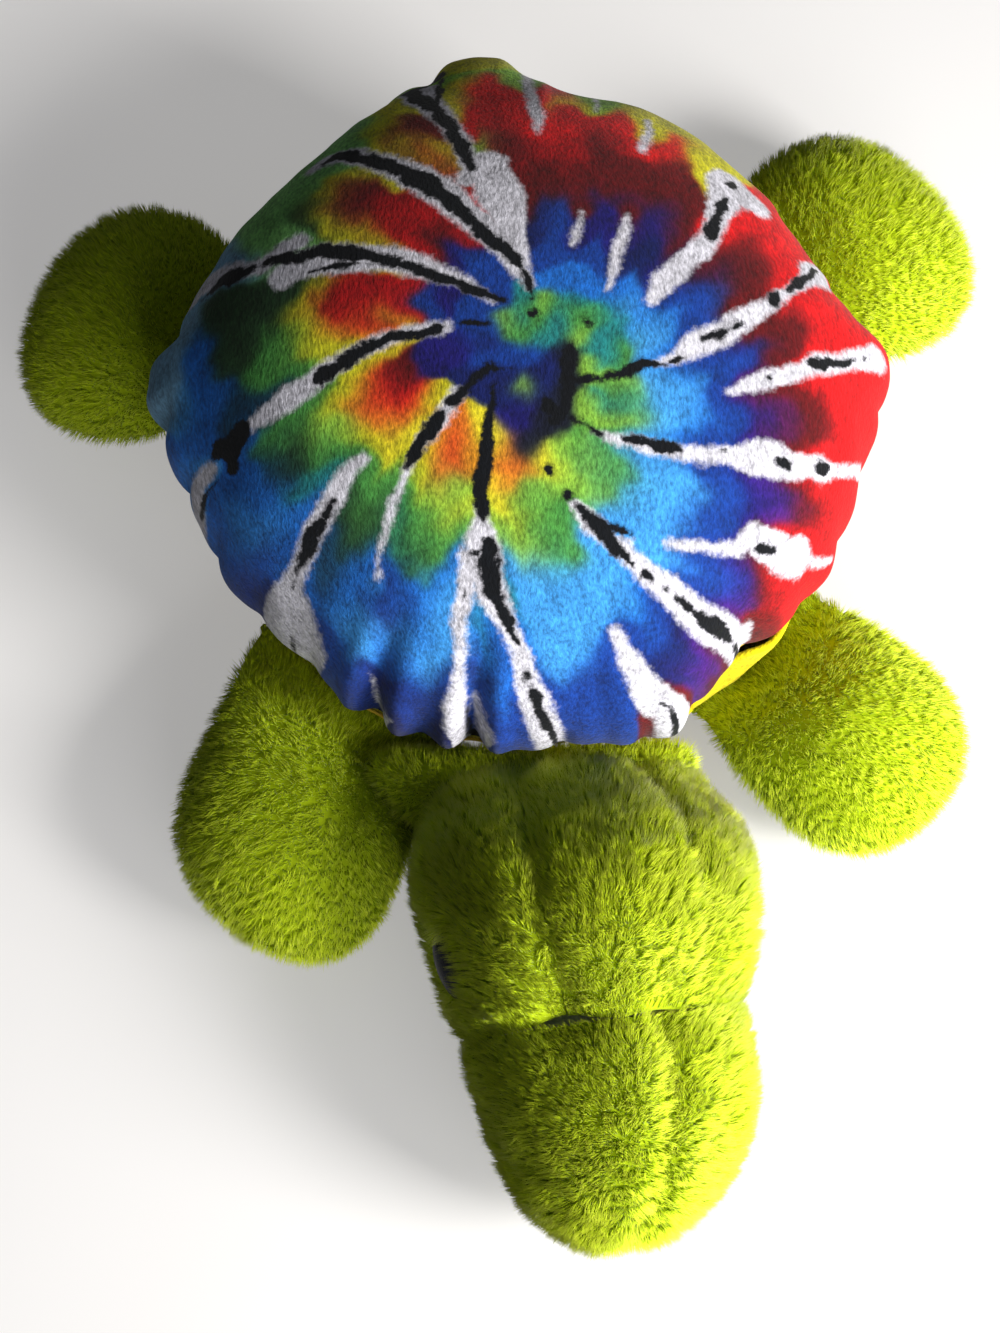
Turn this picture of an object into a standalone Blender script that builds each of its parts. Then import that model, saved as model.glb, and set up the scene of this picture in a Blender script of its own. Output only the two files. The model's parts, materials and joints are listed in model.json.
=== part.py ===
# Plush turtle with a tie-dyed shell, about 300 mm from its nose to the rear of its shell.
# It rests on the flat of its belly, and its legs and head stand out level round it.
# Metres, +Z up. The head points towards -Y and the turtle's own left side is +X.
# The origin is the middle of the flat rest face under the belly.
# Every fabric panel is a skin with its own thickness, and the filling inside it is a separate solid.

from math import asin, atan2, cos, exp, pi, radians, sin, sqrt, tan

import bmesh
import bpy
from mathutils import Matrix, Vector

# Driving dimensions
SEAM_RADIUS = 0.0843
SEAM_HEIGHT = 0.044
SHELL_OVERHANG = 0.0035
SHELL_RADIUS = SEAM_RADIUS + SHELL_OVERHANG
SHELL_TOP = 0.092
BELLY_OVERHANG = 0.0009
BELLY_RADIUS = SEAM_RADIUS + BELLY_OVERHANG
REST_RADIUS = 0.044
HEAD_LENGTH = 0.1120
HEAD_WIDTH = 0.0815
HEAD_HEIGHT = 0.0665
CRANIUM_LENGTH = 0.0620
MUZZLE_WIDTH = 0.0618
MUZZLE_HEIGHT = 0.0550
FRONT_LEG_LENGTH = 0.0570
BACK_LEG_LENGTH = 0.0490
FRONT_LEG_WIDTH = 0.0540
BACK_LEG_WIDTH = 0.0670
LEG_THICKNESS = 0.0370
EYE_WIDTH = 0.0175

# Fabric and fits
FABRIC = 0.0016
GAP = 0.0003
FILL_CLEARANCE = 0.0008
FLOOR_CLEARANCE = 0.0006
CUT_OVERRUN = 0.004

# Faces round a turn and along a quarter arc
BODY_SIDES = 72
BELLY_SIDES = 36
DOME_RINGS = 6
LATHE_SIDES = 20
LEG_PANEL_STEPS = 8
LEG_TIP_STEPS = 4


def clear_scene():
    for item in list(bpy.data.objects):
        bpy.data.objects.remove(item, do_unlink=True)


def make_material(name, colour, roughness, sheen=0.0):
    material = bpy.data.materials.new(name)
    material.use_nodes = True
    shader = material.node_tree.nodes["Principled BSDF"]
    shader.inputs["Base Color"].default_value = (*colour, 1.0)
    shader.inputs["Roughness"].default_value = roughness
    shader.inputs["Metallic"].default_value = 0.0
    shader.inputs["Sheen Weight"].default_value = sheen
    material.diffuse_color = (*colour, 1.0)
    return material


def add_object(name, bm, material, parent=None):
    bmesh.ops.recalc_face_normals(bm, faces=bm.faces)
    mesh = bpy.data.meshes.new(name)
    bm.to_mesh(mesh)
    bm.free()
    mesh.shade_smooth()
    mesh.set_sharp_from_angle(angle=radians(50.0))
    mesh.materials.append(material)
    item = bpy.data.objects.new(name, mesh)
    bpy.context.collection.objects.link(item)
    item.parent = parent
    return item


def add_pivot(name, place, turn=(0.0, 0.0, 0.0)):
    pivot = bpy.data.objects.new(name, None)
    pivot.empty_display_size = FABRIC
    pivot.location = place
    pivot.rotation_euler = turn
    bpy.context.collection.objects.link(pivot)
    return pivot


def cut_with(item, cutter):
    cutter.hide_render = True
    cutter.display_type = "WIRE"
    modifier = item.modifiers.new("cut", "BOOLEAN")
    modifier.operation = "DIFFERENCE"
    modifier.solver = "EXACT"
    modifier.object = cutter


def join_rows(bm, row_a, row_b, closed):
    """Faces between two rows of vertices; a row of one vertex is a pole."""
    longest = max(len(row_a), len(row_b))
    for step in range(longest if closed else longest - 1):
        corners = []
        for row, order in ((row_a, (step, step + 1)), (row_b, (step + 1, step))):
            for index in order if len(row) > 1 else (0,):
                corners.append(row[index % len(row)])
        bm.faces.new(corners)


def rows_to_vertices(bm, rows):
    return [[bm.verts.new(point) for point in row] for row in rows]


def skin(outer_rows, inner_rows, closed):
    """A panel with a thickness: two like grids of points joined along their borders."""
    bm = bmesh.new()
    outer = rows_to_vertices(bm, outer_rows)
    inner = rows_to_vertices(bm, inner_rows)
    for grid in (outer, inner):
        for row_a, row_b in zip(grid, grid[1:]):
            join_rows(bm, row_a, row_b, closed)
    for end in (0, -1):
        if len(outer[end]) > 1:
            join_rows(bm, outer[end], inner[end], closed)
    if not closed:
        for side in (0, -1):
            join_rows(bm, [row[side] for row in outer], [row[side] for row in inner], False)
    return bm


def solid(rows):
    """A closed solid lofted through rings; an end that isn't a pole gets a flat face."""
    bm = bmesh.new()
    rings = rows_to_vertices(bm, rows)
    for row_a, row_b in zip(rings, rings[1:]):
        join_rows(bm, row_a, row_b, True)
    for end in (0, -1):
        if len(rings[end]) > 1:
            bm.faces.new(rings[end])
    return bm


def ring(radius, height, sides):
    """A level ring round Z, or a pole where the radius is zero."""
    if radius <= 0:
        return [Vector((0, 0, height))]
    turns = [2 * pi * step / sides for step in range(sides)]
    return [Vector((radius * cos(turn), radius * sin(turn), height)) for turn in turns]


def lathe(profile, sides):
    """A solid turned round Z from (radius, height) pairs that start and end on the axis."""
    return solid([ring(radius, height, sides) for radius, height in profile])


def lathe_loop(profile, sides):
    """A turned ring whose closed profile stays clear of the axis."""
    bm = bmesh.new()
    rings = rows_to_vertices(bm, [ring(radius, height, sides) for radius, height in profile])
    for row_a, row_b in zip(rings, rings[1:] + rings[:1]):
        join_rows(bm, row_a, row_b, True)
    return bm


# Body: a pillow of two covers, each drawn by a profile of (radius, height) pairs

SHELL_WIDEST_HEIGHT = 0.0505
BELLY_WIDEST_HEIGHT = 0.033
DOME_FULLNESS = 2.25
BELLY_FULLNESS = 2.6
PUCKERS = 24
PUCKER_DEPTH = 0.0015
PUCKER_REACH = 0.036
LOBE = 0.0105
LOBE_WIDTH = 0.0075

# Bearing from +X in degrees and share of the lobe's size, for the folds that stand out of the rim
LOBE_SHARES = ((0.0, 0.46), (90.0, 1.00), (171.0, 0.55), (-74.0, 0.34))


def fullness_arc(turn, fullness):
    """A quarter of a superellipse: shares of its two half-sizes at this turn."""
    return abs(cos(turn)) ** (2 / fullness), abs(sin(turn)) ** (2 / fullness)


def dome_point(turn):
    """The shell above its widest ring, where turn runs from 0 there to pi / 2 at the top."""
    across, up = fullness_arc(turn, DOME_FULLNESS)
    return SHELL_RADIUS * across, SHELL_WIDEST_HEIGHT + (SHELL_TOP - SHELL_WIDEST_HEIGHT) * up


def shell_tuck_point(turn):
    """The shell's edge tucked in to the seam, where turn runs from 0 at its widest ring."""
    drop = SHELL_WIDEST_HEIGHT - SEAM_HEIGHT - GAP / 2
    radius = SEAM_RADIUS + (SHELL_RADIUS - SEAM_RADIUS) * cos(turn)
    return radius, SHELL_WIDEST_HEIGHT - drop * sin(turn)


def belly_point(turn):
    """The belly below its widest ring, where turn runs from 0 there to pi / 2 at the rest face."""
    across, down = fullness_arc(turn, BELLY_FULLNESS)
    return REST_RADIUS + (BELLY_RADIUS - REST_RADIUS) * across, BELLY_WIDEST_HEIGHT * (1 - down)


def belly_tuck_point(turn):
    """The belly's edge drawn in to the seam, where turn runs from 0 at its widest ring."""
    rise = SEAM_HEIGHT - GAP / 2 - BELLY_WIDEST_HEIGHT
    radius = SEAM_RADIUS + (BELLY_RADIUS - SEAM_RADIUS) * cos(turn)
    return radius, BELLY_WIDEST_HEIGHT + rise * sin(turn)


def arc_points(function, first, last, steps):
    return [function(first + (last - first) * step / steps) for step in range(steps + 1)]


def shell_profile():
    """From the top of the dome down to the seam."""
    dome = arc_points(dome_point, pi / 2, 0, DOME_RINGS)
    dome[0] = (0.0, SHELL_TOP)
    return dome + arc_points(shell_tuck_point, 0, pi / 2, 2)[1:]


def belly_profile():
    """From the middle of the rest face up to the seam."""
    wall = arc_points(belly_point, pi / 2, 0, DOME_RINGS)
    return [(0.0, 0.0)] + wall + arc_points(belly_tuck_point, 0, pi / 2, 2)[1:]


def inset_profile(profile, depth):
    """The profile moved in along its own normals, with its first and last heights kept level."""
    moved = []
    for index, (radius, height) in enumerate(profile):
        before = profile[max(index - 1, 0)]
        after = profile[min(index + 1, len(profile) - 1)]
        along = Vector((after[0] - before[0], after[1] - before[1])).normalized()
        inward = Vector((-along.y, along.x))
        middle = Vector((-radius, SEAM_HEIGHT - height))
        if inward.dot(middle) < 0:
            inward = -inward
        if index == 0:
            inward = Vector((0, 1 if height < SEAM_HEIGHT else -1))
        if index == len(profile) - 1:
            inward = Vector((-1, 0))
        moved.append((radius + inward.x * depth, height + inward.y * depth))
    return moved


def pucker(turn, height):
    """How far the gathered rim draws in here, and how far its larger folds stand out."""
    fade = max(0.0, 1 - abs(height - SHELL_WIDEST_HEIGHT) / PUCKER_REACH)
    drawn = PUCKER_DEPTH * fade * (1 - abs(sin(turn * PUCKERS / 2)))
    clear = min(1.0, (height - SEAM_HEIGHT) / (SHELL_WIDEST_HEIGHT - SEAM_HEIGHT))
    lobes = 0.0
    for bearing, share in LOBE_SHARES:
        across = SHELL_RADIUS * sin(turn - radians(bearing))
        if cos(turn - radians(bearing)) > 0:
            lobes += LOBE * share * exp(-((across / LOBE_WIDTH) ** 2))
    return lobes * clear * fade - drawn


def puckered_ring(radius, height, sides, level):
    if radius <= 0:
        return [Vector((0, 0, height))]
    points = []
    for step in range(sides):
        turn = 2 * pi * step / sides
        reach = radius + pucker(turn, level)
        points.append(Vector((reach * cos(turn), reach * sin(turn), height)))
    return points


def make_shell_cover(material):
    profile = shell_profile()
    outer = [puckered_ring(r, z, BODY_SIDES, z) for r, z in profile]
    inset = inset_profile(profile, FABRIC)
    inner = [puckered_ring(r, z, BODY_SIDES, p[1]) for (r, z), p in zip(inset, profile)]
    return add_object("shell_cover", skin(outer, inner, True), material)


def make_belly_cover(material):
    profile = belly_profile()
    outer = [ring(r, z, BELLY_SIDES) for r, z in profile]
    inner = [ring(r, z, BELLY_SIDES) for r, z in inset_profile(profile, FABRIC)]
    return add_object("belly_cover", skin(outer, inner, True), material)


def make_body_stuffing(material):
    """The filling keeps inside the deepest pucker all round."""
    depth = FABRIC + FILL_CLEARANCE
    upper = [(max(r - PUCKER_DEPTH, 0.0), z) for r, z in inset_profile(shell_profile(), depth)]
    lower = inset_profile(belly_profile(), depth)
    upper[0] = (0.0, SHELL_TOP - depth)
    seam = (SEAM_RADIUS - depth - PUCKER_DEPTH, SEAM_HEIGHT)
    profile = upper[:-1] + [seam] + lower[::-1][1:]
    return add_object("body_stuffing", lathe(profile, BELLY_SIDES), material)


# Gathering thread in the groove between the two covers

THREAD_RADIUS = 0.0005
THREAD_STAND_OFF = 0.0007
THREAD_FACES = 5


def make_rim_thread(material):
    centre = SEAM_RADIUS + THREAD_STAND_OFF + GAP + THREAD_RADIUS
    turns = [2 * pi * step / THREAD_FACES for step in range(THREAD_FACES)]
    loop = [(centre + THREAD_RADIUS * cos(t), SEAM_HEIGHT + THREAD_RADIUS * sin(t)) for t in turns]
    return add_object("rim_gathering_thread", lathe_loop(loop, BELLY_SIDES), material)


# Neck: a small stuffed ball under the rim, sewn to the belly, on which the head turns and nods

NECK_RADIUS = 0.0135
NECK_HEIGHT = 0.0280
NECK_OPENING = radians(16.0)
SOCKET_CLEARANCE = 0.0012
NECK_SIDES = 16
NECK_RINGS = 8


def wall_at(height):
    """The belly wall's radius and outward slope angle at a height under its widest ring."""
    share = 1 - height / BELLY_WIDEST_HEIGHT
    across = (1 - share ** BELLY_FULLNESS) ** (1 / BELLY_FULLNESS)
    radius = REST_RADIUS + (BELLY_RADIUS - REST_RADIUS) * across
    step = BELLY_WIDEST_HEIGHT / BODY_SIDES
    lower = 1 - (height - step) / BELLY_WIDEST_HEIGHT
    lower_across = (1 - lower ** BELLY_FULLNESS) ** (1 / BELLY_FULLNESS)
    rise = (BELLY_RADIUS - REST_RADIUS) * (across - lower_across)
    return radius, atan2(rise, step)


def neck_place():
    radius, lean = wall_at(NECK_HEIGHT)
    return Vector((0, -radius - (NECK_RADIUS + GAP) / cos(lean), NECK_HEIGHT))


def ball_rings(radius, first):
    """Rings of a ball about Y, from its opening towards -Y round to its pole towards +Y."""
    rows = []
    for step in range(NECK_RINGS + 1):
        turn = first + (pi - first) * step / NECK_RINGS
        reach = radius * sin(turn)
        spin = [2 * pi * side / NECK_SIDES for side in range(NECK_SIDES)]
        rows.append([Vector((reach * cos(s), -radius * cos(turn), reach * sin(s))) for s in spin])
    rows[-1] = [Vector((0, radius, 0))]
    if first == 0:
        rows[0] = [Vector((0, -radius, 0))]
    return rows


def make_neck(parent, fabric, filling):
    outer = ball_rings(NECK_RADIUS, NECK_OPENING)
    inner = ball_rings(NECK_RADIUS - FABRIC, NECK_OPENING)
    add_object("neck_cover", skin(outer, inner, True), fabric, parent)
    filled = NECK_RADIUS - FABRIC - FILL_CLEARANCE
    add_object("neck_stuffing", solid(ball_rings(filled, 0)), filling, parent)


# Head: modelled about the neck's centre, level and facing -Y, then rolled with its pivot.
# A section is (distance, half width, rise over its centre, drop under it, centre height, shift).

HEAD_ROLL = radians(12.0)
HEAD_YAW = radians(0.6)
HEAD_BACK = 0.0070
HEAD_CENTRE_RISE = 0.0085
MUZZLE_SIDE_SHIFT = 0.0022
CROWN_WIDTH = 0.0385
SIDE_PANEL_END = radians(128.0)
CROWN_STEPS = 4
SIDE_STEPS = 8
CHIN_STEPS = 7
MUZZLE_STEPS = 12

# Shares of the cranium's length, of half its width, of its rise and drop, and of its centre's rise
CRANIUM_SHARES = (
    (0.00, 0.70, 0.44, 0.62, 0.10),
    (0.14, 0.86, 0.66, 0.82, 0.45),
    (0.32, 0.98, 0.90, 0.95, 0.80),
    (0.52, 1.00, 1.00, 1.00, 1.00),
    (0.72, 0.965, 0.985, 0.97, 1.00),
    (0.88, 0.885, 0.91, 0.89, 0.85),
    (1.00, 0.790, 0.80, 0.82, 0.70),
)

# Shares of the muzzle's length, of half its width, of its rise and drop, and of its centre's rise
MUZZLE_SHARES = (
    (0.00, 1.00, 0.96, 0.94, 1.00),
    (0.20, 1.03, 1.02, 1.00, 0.90),
    (0.46, 0.98, 0.98, 0.96, 0.62),
    (0.70, 0.825, 0.81, 0.80, 0.36),
    (0.87, 0.580, 0.56, 0.56, 0.18),
    (0.965, 0.310, 0.30, 0.30, 0.06),
    (1.00, 0.00, 0.00, 0.00, 0.00),
)


def cranium_sections():
    sections = []
    for along, wide, high, low, lift in CRANIUM_SHARES:
        distance = -HEAD_BACK + CRANIUM_LENGTH * along
        size = (HEAD_WIDTH / 2 * wide, HEAD_HEIGHT / 2 * high, HEAD_HEIGHT / 2 * low)
        sections.append((distance, *size, HEAD_CENTRE_RISE * lift, 0.0))
    return sections


def muzzle_sections():
    length = HEAD_LENGTH - CRANIUM_LENGTH
    lift = HEAD_CENTRE_RISE * CRANIUM_SHARES[-1][-1]
    drop = HEAD_CENTRE_RISE - lift
    sections = []
    for along, wide, high, low, rise in MUZZLE_SHARES:
        distance = CRANIUM_LENGTH - HEAD_BACK + length * along
        size = (MUZZLE_WIDTH / 2 * wide, MUZZLE_HEIGHT / 2 * high, MUZZLE_HEIGHT / 2 * low)
        centre = lift * rise - drop * (1 - rise)
        sections.append((distance, *size, centre, MUZZLE_SIDE_SHIFT * sin(pi * along)))
    return sections


def section_point(section, angle):
    """A point of the head's surface; the angle runs from the top towards +X."""
    distance, half_width, rise, drop, centre, shift = section
    height = rise if cos(angle) >= 0 else drop
    return Vector((shift + half_width * sin(angle), -distance, centre + height * cos(angle)))


def section_normal(sections, index, angle):
    distance, half_width, rise, drop, centre, shift = sections[index]
    if half_width == 0:
        return Vector((0, -1, 0))
    after = sections[min(index + 1, len(sections) - 1)]
    before = sections[max(index - 1, 0)]
    along = section_point(after, angle) - section_point(before, angle)
    height = rise if cos(angle) >= 0 else drop
    around = Vector((half_width * cos(angle), 0, -height * sin(angle)))
    normal = around.cross(along).normalized()
    outward = section_point(sections[index], angle) - Vector((shift, -distance, centre))
    return normal if normal.dot(outward) > 0 else -normal


def edge_angle(section, angle, back):
    """The angle moved back along the surface by half a seam gap."""
    height = section[2] if cos(angle) >= 0 else section[3]
    pace = sqrt((section[1] * cos(angle)) ** 2 + (height * sin(angle)) ** 2)
    return angle - back * GAP / 2 / pace


def trimmed(sections, first, last):
    """The sections with half a gap taken off each end that meets a cross seam."""
    kept = list(sections)
    if first:
        kept[0] = (kept[0][0] + GAP / 2, *kept[0][1:])
    if last:
        kept[-1] = (kept[-1][0] - GAP / 2, *kept[-1][1:])
    return kept


def head_panel(name, first, last, steps, material, parent):
    """A panel of the cranium between two seams that run from the back to the cross seam."""
    sections = trimmed(cranium_sections(), False, True)
    outer = []
    inner = []
    for index, section in enumerate(sections):
        start = edge_angle(section, first, -1)
        end = edge_angle(section, last, 1)
        angles = [start + (end - start) * step / steps for step in range(steps + 1)]
        points = [section_point(section, angle) for angle in angles]
        outer.append(points)
        normals = [section_normal(sections, index, angle) for angle in angles]
        inner.append([point - normal * FABRIC for point, normal in zip(points, normals)])
    return add_object(name, skin(outer, inner, False), material, parent)


def muzzle_panel(name, side, material, parent):
    """Half of the muzzle, from the seam down its top round to the seam under it."""
    sections = trimmed(muzzle_sections(), True, False)
    shift = Vector((side * GAP / 2, 0, 0))
    outer = []
    inner = []
    for index, section in enumerate(sections):
        angles = [side * pi * step / MUZZLE_STEPS for step in range(MUZZLE_STEPS + 1)]
        if section[1] == 0:
            angles = angles[:1]
        points = [section_point(section, angle) + shift for angle in angles]
        normals = [section_normal(sections, index, angle) for angle in angles]
        outer.append(points)
        inner.append([point - normal * FABRIC for point, normal in zip(points, normals)])
    return add_object(name, skin(outer, inner, False), material, parent)


def head_fill_rings():
    """Rings of the filling, inside every panel and drawn in at the cross seam."""
    sections = cranium_sections()[:-1] + muzzle_sections()
    sides = 2 * MUZZLE_STEPS
    depth = FABRIC + FILL_CLEARANCE
    rows = []
    for index, section in enumerate(sections):
        angles = [2 * pi * step / sides for step in range(sides)]
        if section[1] == 0:
            angles = angles[:1]
        row = []
        for angle in angles:
            inward = section_normal(sections, index, angle) * depth
            row.append(section_point(section, angle) - inward)
        rows.append(row)
    level = min(point.y for point in rows[0])
    for point in rows[0]:
        point.y = level
    return rows


def make_head(parent, fabric, filling):
    crown = asin(CROWN_WIDTH / HEAD_WIDTH)
    head_panel("head_crown_panel", -crown, crown, CROWN_STEPS, fabric, parent)
    left = head_panel("head_side_left", crown, SIDE_PANEL_END, SIDE_STEPS, fabric, parent)
    right = head_panel("head_side_right", -SIDE_PANEL_END, -crown, SIDE_STEPS, fabric, parent)
    chin_end = 2 * pi - SIDE_PANEL_END
    head_panel("chin_panel", SIDE_PANEL_END, chin_end, CHIN_STEPS, fabric, parent)
    muzzle_panel("muzzle_left", 1, fabric, parent)
    muzzle_panel("muzzle_right", -1, fabric, parent)
    stuffing = add_object("head_stuffing", solid(head_fill_rings()), filling, parent)
    room = solid(ball_rings(NECK_RADIUS + SOCKET_CLEARANCE, 0))
    socket = add_object("neck_socket", room, filling, parent)
    cut_with(stuffing, socket)
    return left, right, stuffing


# Eyes: a domed plastic eye on a shank, held by a washer inside the head

EYE_DISTANCE = 0.0375
EYE_ANGLE = radians(84.0)
EYE_DOME = 0.0042
EYE_RIM = 0.0008
SHANK_RADIUS = 0.0020
SHANK_LENGTH = 0.0085
WASHER_RADIUS = 0.0065
WASHER_THICKNESS = 0.0012
FACET_SAG = 0.0005
EYE_ARC_STEPS = 5


def eye_frame(side):
    """The eye's seat: its middle on the head's surface, with Z along the outward normal."""
    sections = cranium_sections()
    index = max(i for i, section in enumerate(sections) if section[0] <= EYE_DISTANCE)
    here = sections[index]
    there = sections[index + 1]
    share = (EYE_DISTANCE - here[0]) / (there[0] - here[0])
    place = section_point(here, side * EYE_ANGLE).lerp(section_point(there, side * EYE_ANGLE), share)
    along = section_point(there, side * EYE_ANGLE) - section_point(here, side * EYE_ANGLE)
    height = here[2] + (there[2] - here[2]) * share
    width = here[1] + (there[1] - here[1]) * share
    around = Vector((width * cos(EYE_ANGLE), 0, -side * height * sin(EYE_ANGLE)))
    normal = around.cross(along).normalized()
    if normal.x * side < 0:
        normal = -normal
    return Matrix.Translation(place) @ normal.to_track_quat("Z", "Y").to_matrix().to_4x4()


def lining_sag(radius):
    """How far the panel's inner face falls away from its tangent plane at this distance."""
    curve = HEAD_HEIGHT ** 2 / HEAD_WIDTH / 2 - 2 * FABRIC
    return curve - sqrt(curve ** 2 - radius ** 2)


def eye_profile():
    turns = [pi / 2 * step / EYE_ARC_STEPS for step in range(1, EYE_ARC_STEPS + 1)]
    half = EYE_WIDTH / 2
    dome = [(half * cos(t), GAP + EYE_RIM + EYE_DOME * sin(t)) for t in turns[:-1]]
    shank = [(0, -SHANK_LENGTH), (SHANK_RADIUS, -SHANK_LENGTH), (SHANK_RADIUS, GAP)]
    return shank + [(half, GAP), (half, GAP + EYE_RIM)] + dome + [(0, GAP + EYE_RIM + EYE_DOME)]


def washer_profile():
    top = -FABRIC - lining_sag(WASHER_RADIUS) - FACET_SAG - GAP
    inside = SHANK_RADIUS + GAP
    low = top - WASHER_THICKNESS
    return [(inside, low), (WASHER_RADIUS, low), (WASHER_RADIUS, top), (inside, top)]


def make_eye(name, side, panel, stuffing, plastic, washer_plastic, parent):
    place = eye_frame(side)
    eye = add_object("eye_" + name, lathe(eye_profile(), LATHE_SIDES), plastic, parent)
    disc = lathe_loop(washer_profile(), LATHE_SIDES)
    washer = add_object("eye_washer_" + name, disc, washer_plastic, parent)
    hole_profile = [(0, -SHANK_LENGTH), (SHANK_RADIUS + GAP, -SHANK_LENGTH)]
    hole_profile += [(SHANK_RADIUS + GAP, CUT_OVERRUN), (0, CUT_OVERRUN)]
    hole = add_object("eye_hole_" + name, lathe(hole_profile, LATHE_SIDES), washer_plastic, parent)
    room = WASHER_RADIUS + FILL_CLEARANCE
    depth = -SHANK_LENGTH - FILL_CLEARANCE
    pocket_profile = [(0, depth), (room, depth), (room, CUT_OVERRUN), (0, CUT_OVERRUN)]
    pocket = add_object("eye_pocket_" + name, lathe(pocket_profile, LATHE_SIDES), washer_plastic, parent)
    for item in (eye, washer, hole, pocket):
        item.matrix_local = place
    cut_with(panel, hole)
    cut_with(stuffing, pocket)


# Legs: stuffed paddles that flap about a hinge along their sewn root.
# In a leg's own frame +X runs out from the hinge, Y across it and Z up.

LEG_ROOT_WIDTH = 0.0440
LEG_ROOT_RADIUS = 0.0042
LEG_SWELL_SHARE = 0.50
LEG_WALL_FIT_SHARE = 0.60
LEG_TIP_FULLNESS = 2.35
LEG_SWELL_STEPS = 3

# Name, length, width, bearing of the root from +X and how far the leg bends aside, in degrees
LEGS = (
    ("front_left", FRONT_LEG_LENGTH, FRONT_LEG_WIDTH, -48.5, -1.5),
    ("front_right", FRONT_LEG_LENGTH, FRONT_LEG_WIDTH, -129.0, 9.0),
    ("back_left", BACK_LEG_LENGTH, BACK_LEG_WIDTH, 27.5, -5.0),
    ("back_right", BACK_LEG_LENGTH, BACK_LEG_WIDTH, 152.0, 5.0),
)


def leg_sections(length, width):
    """(x, half width, half thickness) from the half-round root to the tip."""
    root = LEG_ROOT_RADIUS
    sections = []
    for turn in (0.0, pi / 4):
        sections.append((-root * cos(turn), LEG_ROOT_WIDTH / 2, root * sin(turn)))
    swell_end = length * LEG_SWELL_SHARE
    for step in range(LEG_SWELL_STEPS):
        share = step / LEG_SWELL_STEPS
        ease = sin(pi / 2 * share)
        half_width = LEG_ROOT_WIDTH / 2 + (width - LEG_ROOT_WIDTH) / 2 * ease
        half_thick = root + (LEG_THICKNESS / 2 - root) * ease
        sections.append((swell_end * share, half_width, half_thick))
    for step in range(LEG_TIP_STEPS + 1):
        turn = pi / 2 * step / LEG_TIP_STEPS
        along, across = fullness_arc(pi / 2 - turn, LEG_TIP_FULLNESS)
        x = swell_end + (length - swell_end) * along
        sections.append((x, width / 2 * across, LEG_THICKNESS / 2 * across))
    sections[-1] = (length, 0.0, 0.0)
    return sections


def leg_point(section, angle):
    x, half_width, half_thick = section
    return Vector((x, half_width * cos(angle), half_thick * sin(angle)))


def inset_leg_sections(sections, depth):
    """The sections moved in along the leg's long profile, and as much across it."""
    moved = []
    for index, (x, half_width, half_thick) in enumerate(sections):
        before = sections[max(index - 1, 0)]
        after = sections[min(index + 1, len(sections) - 1)]
        inward = Vector((after[2] - before[2], before[0] - after[0])).normalized()
        if index in (0, len(sections) - 1):
            inward = Vector((1 if index == 0 else -1, 0))
        narrowed = max(half_width - depth, 0.0)
        moved.append((x + inward.x * depth, narrowed, half_thick + inward.y * depth))
    return moved


def bent(point, leg):
    """The leg leans aside past its hinge, and its root curves part of the way round the belly."""
    fade = min(max(1 - point.x / (leg["length"] * LEG_SWELL_SHARE), 0.0), 1.0)
    sag = leg["wall"] - sqrt(leg["wall"] ** 2 - point.y ** 2)
    aside = max(point.x, 0.0) * leg["lean"]
    return point + Vector((-LEG_WALL_FIT_SHARE * sag * fade, aside, 0))


def leg_rows(sections, turns, leg, lift=0.0):
    """Rows of points through the sections; a section of no width is a single point."""
    rows = []
    for section in sections:
        used = turns if section[1] > 0 else turns[:1]
        points = [leg_point(section, turn) + Vector((0, 0, lift)) for turn in used]
        rows.append([bent(point, leg) for point in points])
    return rows


def leg_panel(name, up, leg, material, parent):
    sections = leg_sections(leg["length"], leg["width"])
    turns = [up * pi * step / LEG_PANEL_STEPS for step in range(LEG_PANEL_STEPS + 1)]
    lift = up * GAP / 2
    outer = leg_rows(sections, turns, leg, lift)
    inner = leg_rows(inset_leg_sections(sections, FABRIC), turns, leg, lift)
    return add_object(name, skin(outer, inner, False), material, parent)


def leg_filling(name, leg, material, parent):
    """The filling starts at the hinge, inside the flat sewn root."""
    sections = leg_sections(leg["length"], leg["width"])
    sections = inset_leg_sections(sections, FABRIC + FILL_CLEARANCE)[2:]
    turns = [pi * step / LEG_PANEL_STEPS for step in range(2 * LEG_PANEL_STEPS)]
    return add_object(name, solid(leg_rows(sections, turns, leg)), material, parent)


def make_leg(name, length, width, bearing, aside, fabric, filling):
    """The leg's hinge lies level along the belly wall, half-way up the leg's thickness."""
    height = LEG_THICKNESS / 2 + FLOOR_CLEARANCE
    wall_radius, lean = wall_at(height)
    reach = wall_radius + (LEG_ROOT_RADIUS + GAP) / cos(lean)
    turn = radians(bearing)
    pivot = add_pivot(name + "_leg_hinge", (reach * cos(turn), reach * sin(turn), height), (0, 0, turn))
    leg = {"length": length, "width": width, "wall": wall_radius, "lean": tan(radians(aside))}
    leg_panel(name + "_leg_top", 1, leg, fabric, pivot)
    leg_panel(name + "_leg_sole", -1, leg, fabric, pivot)
    leg_filling(name + "_leg_stuffing", leg, filling, pivot)


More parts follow.
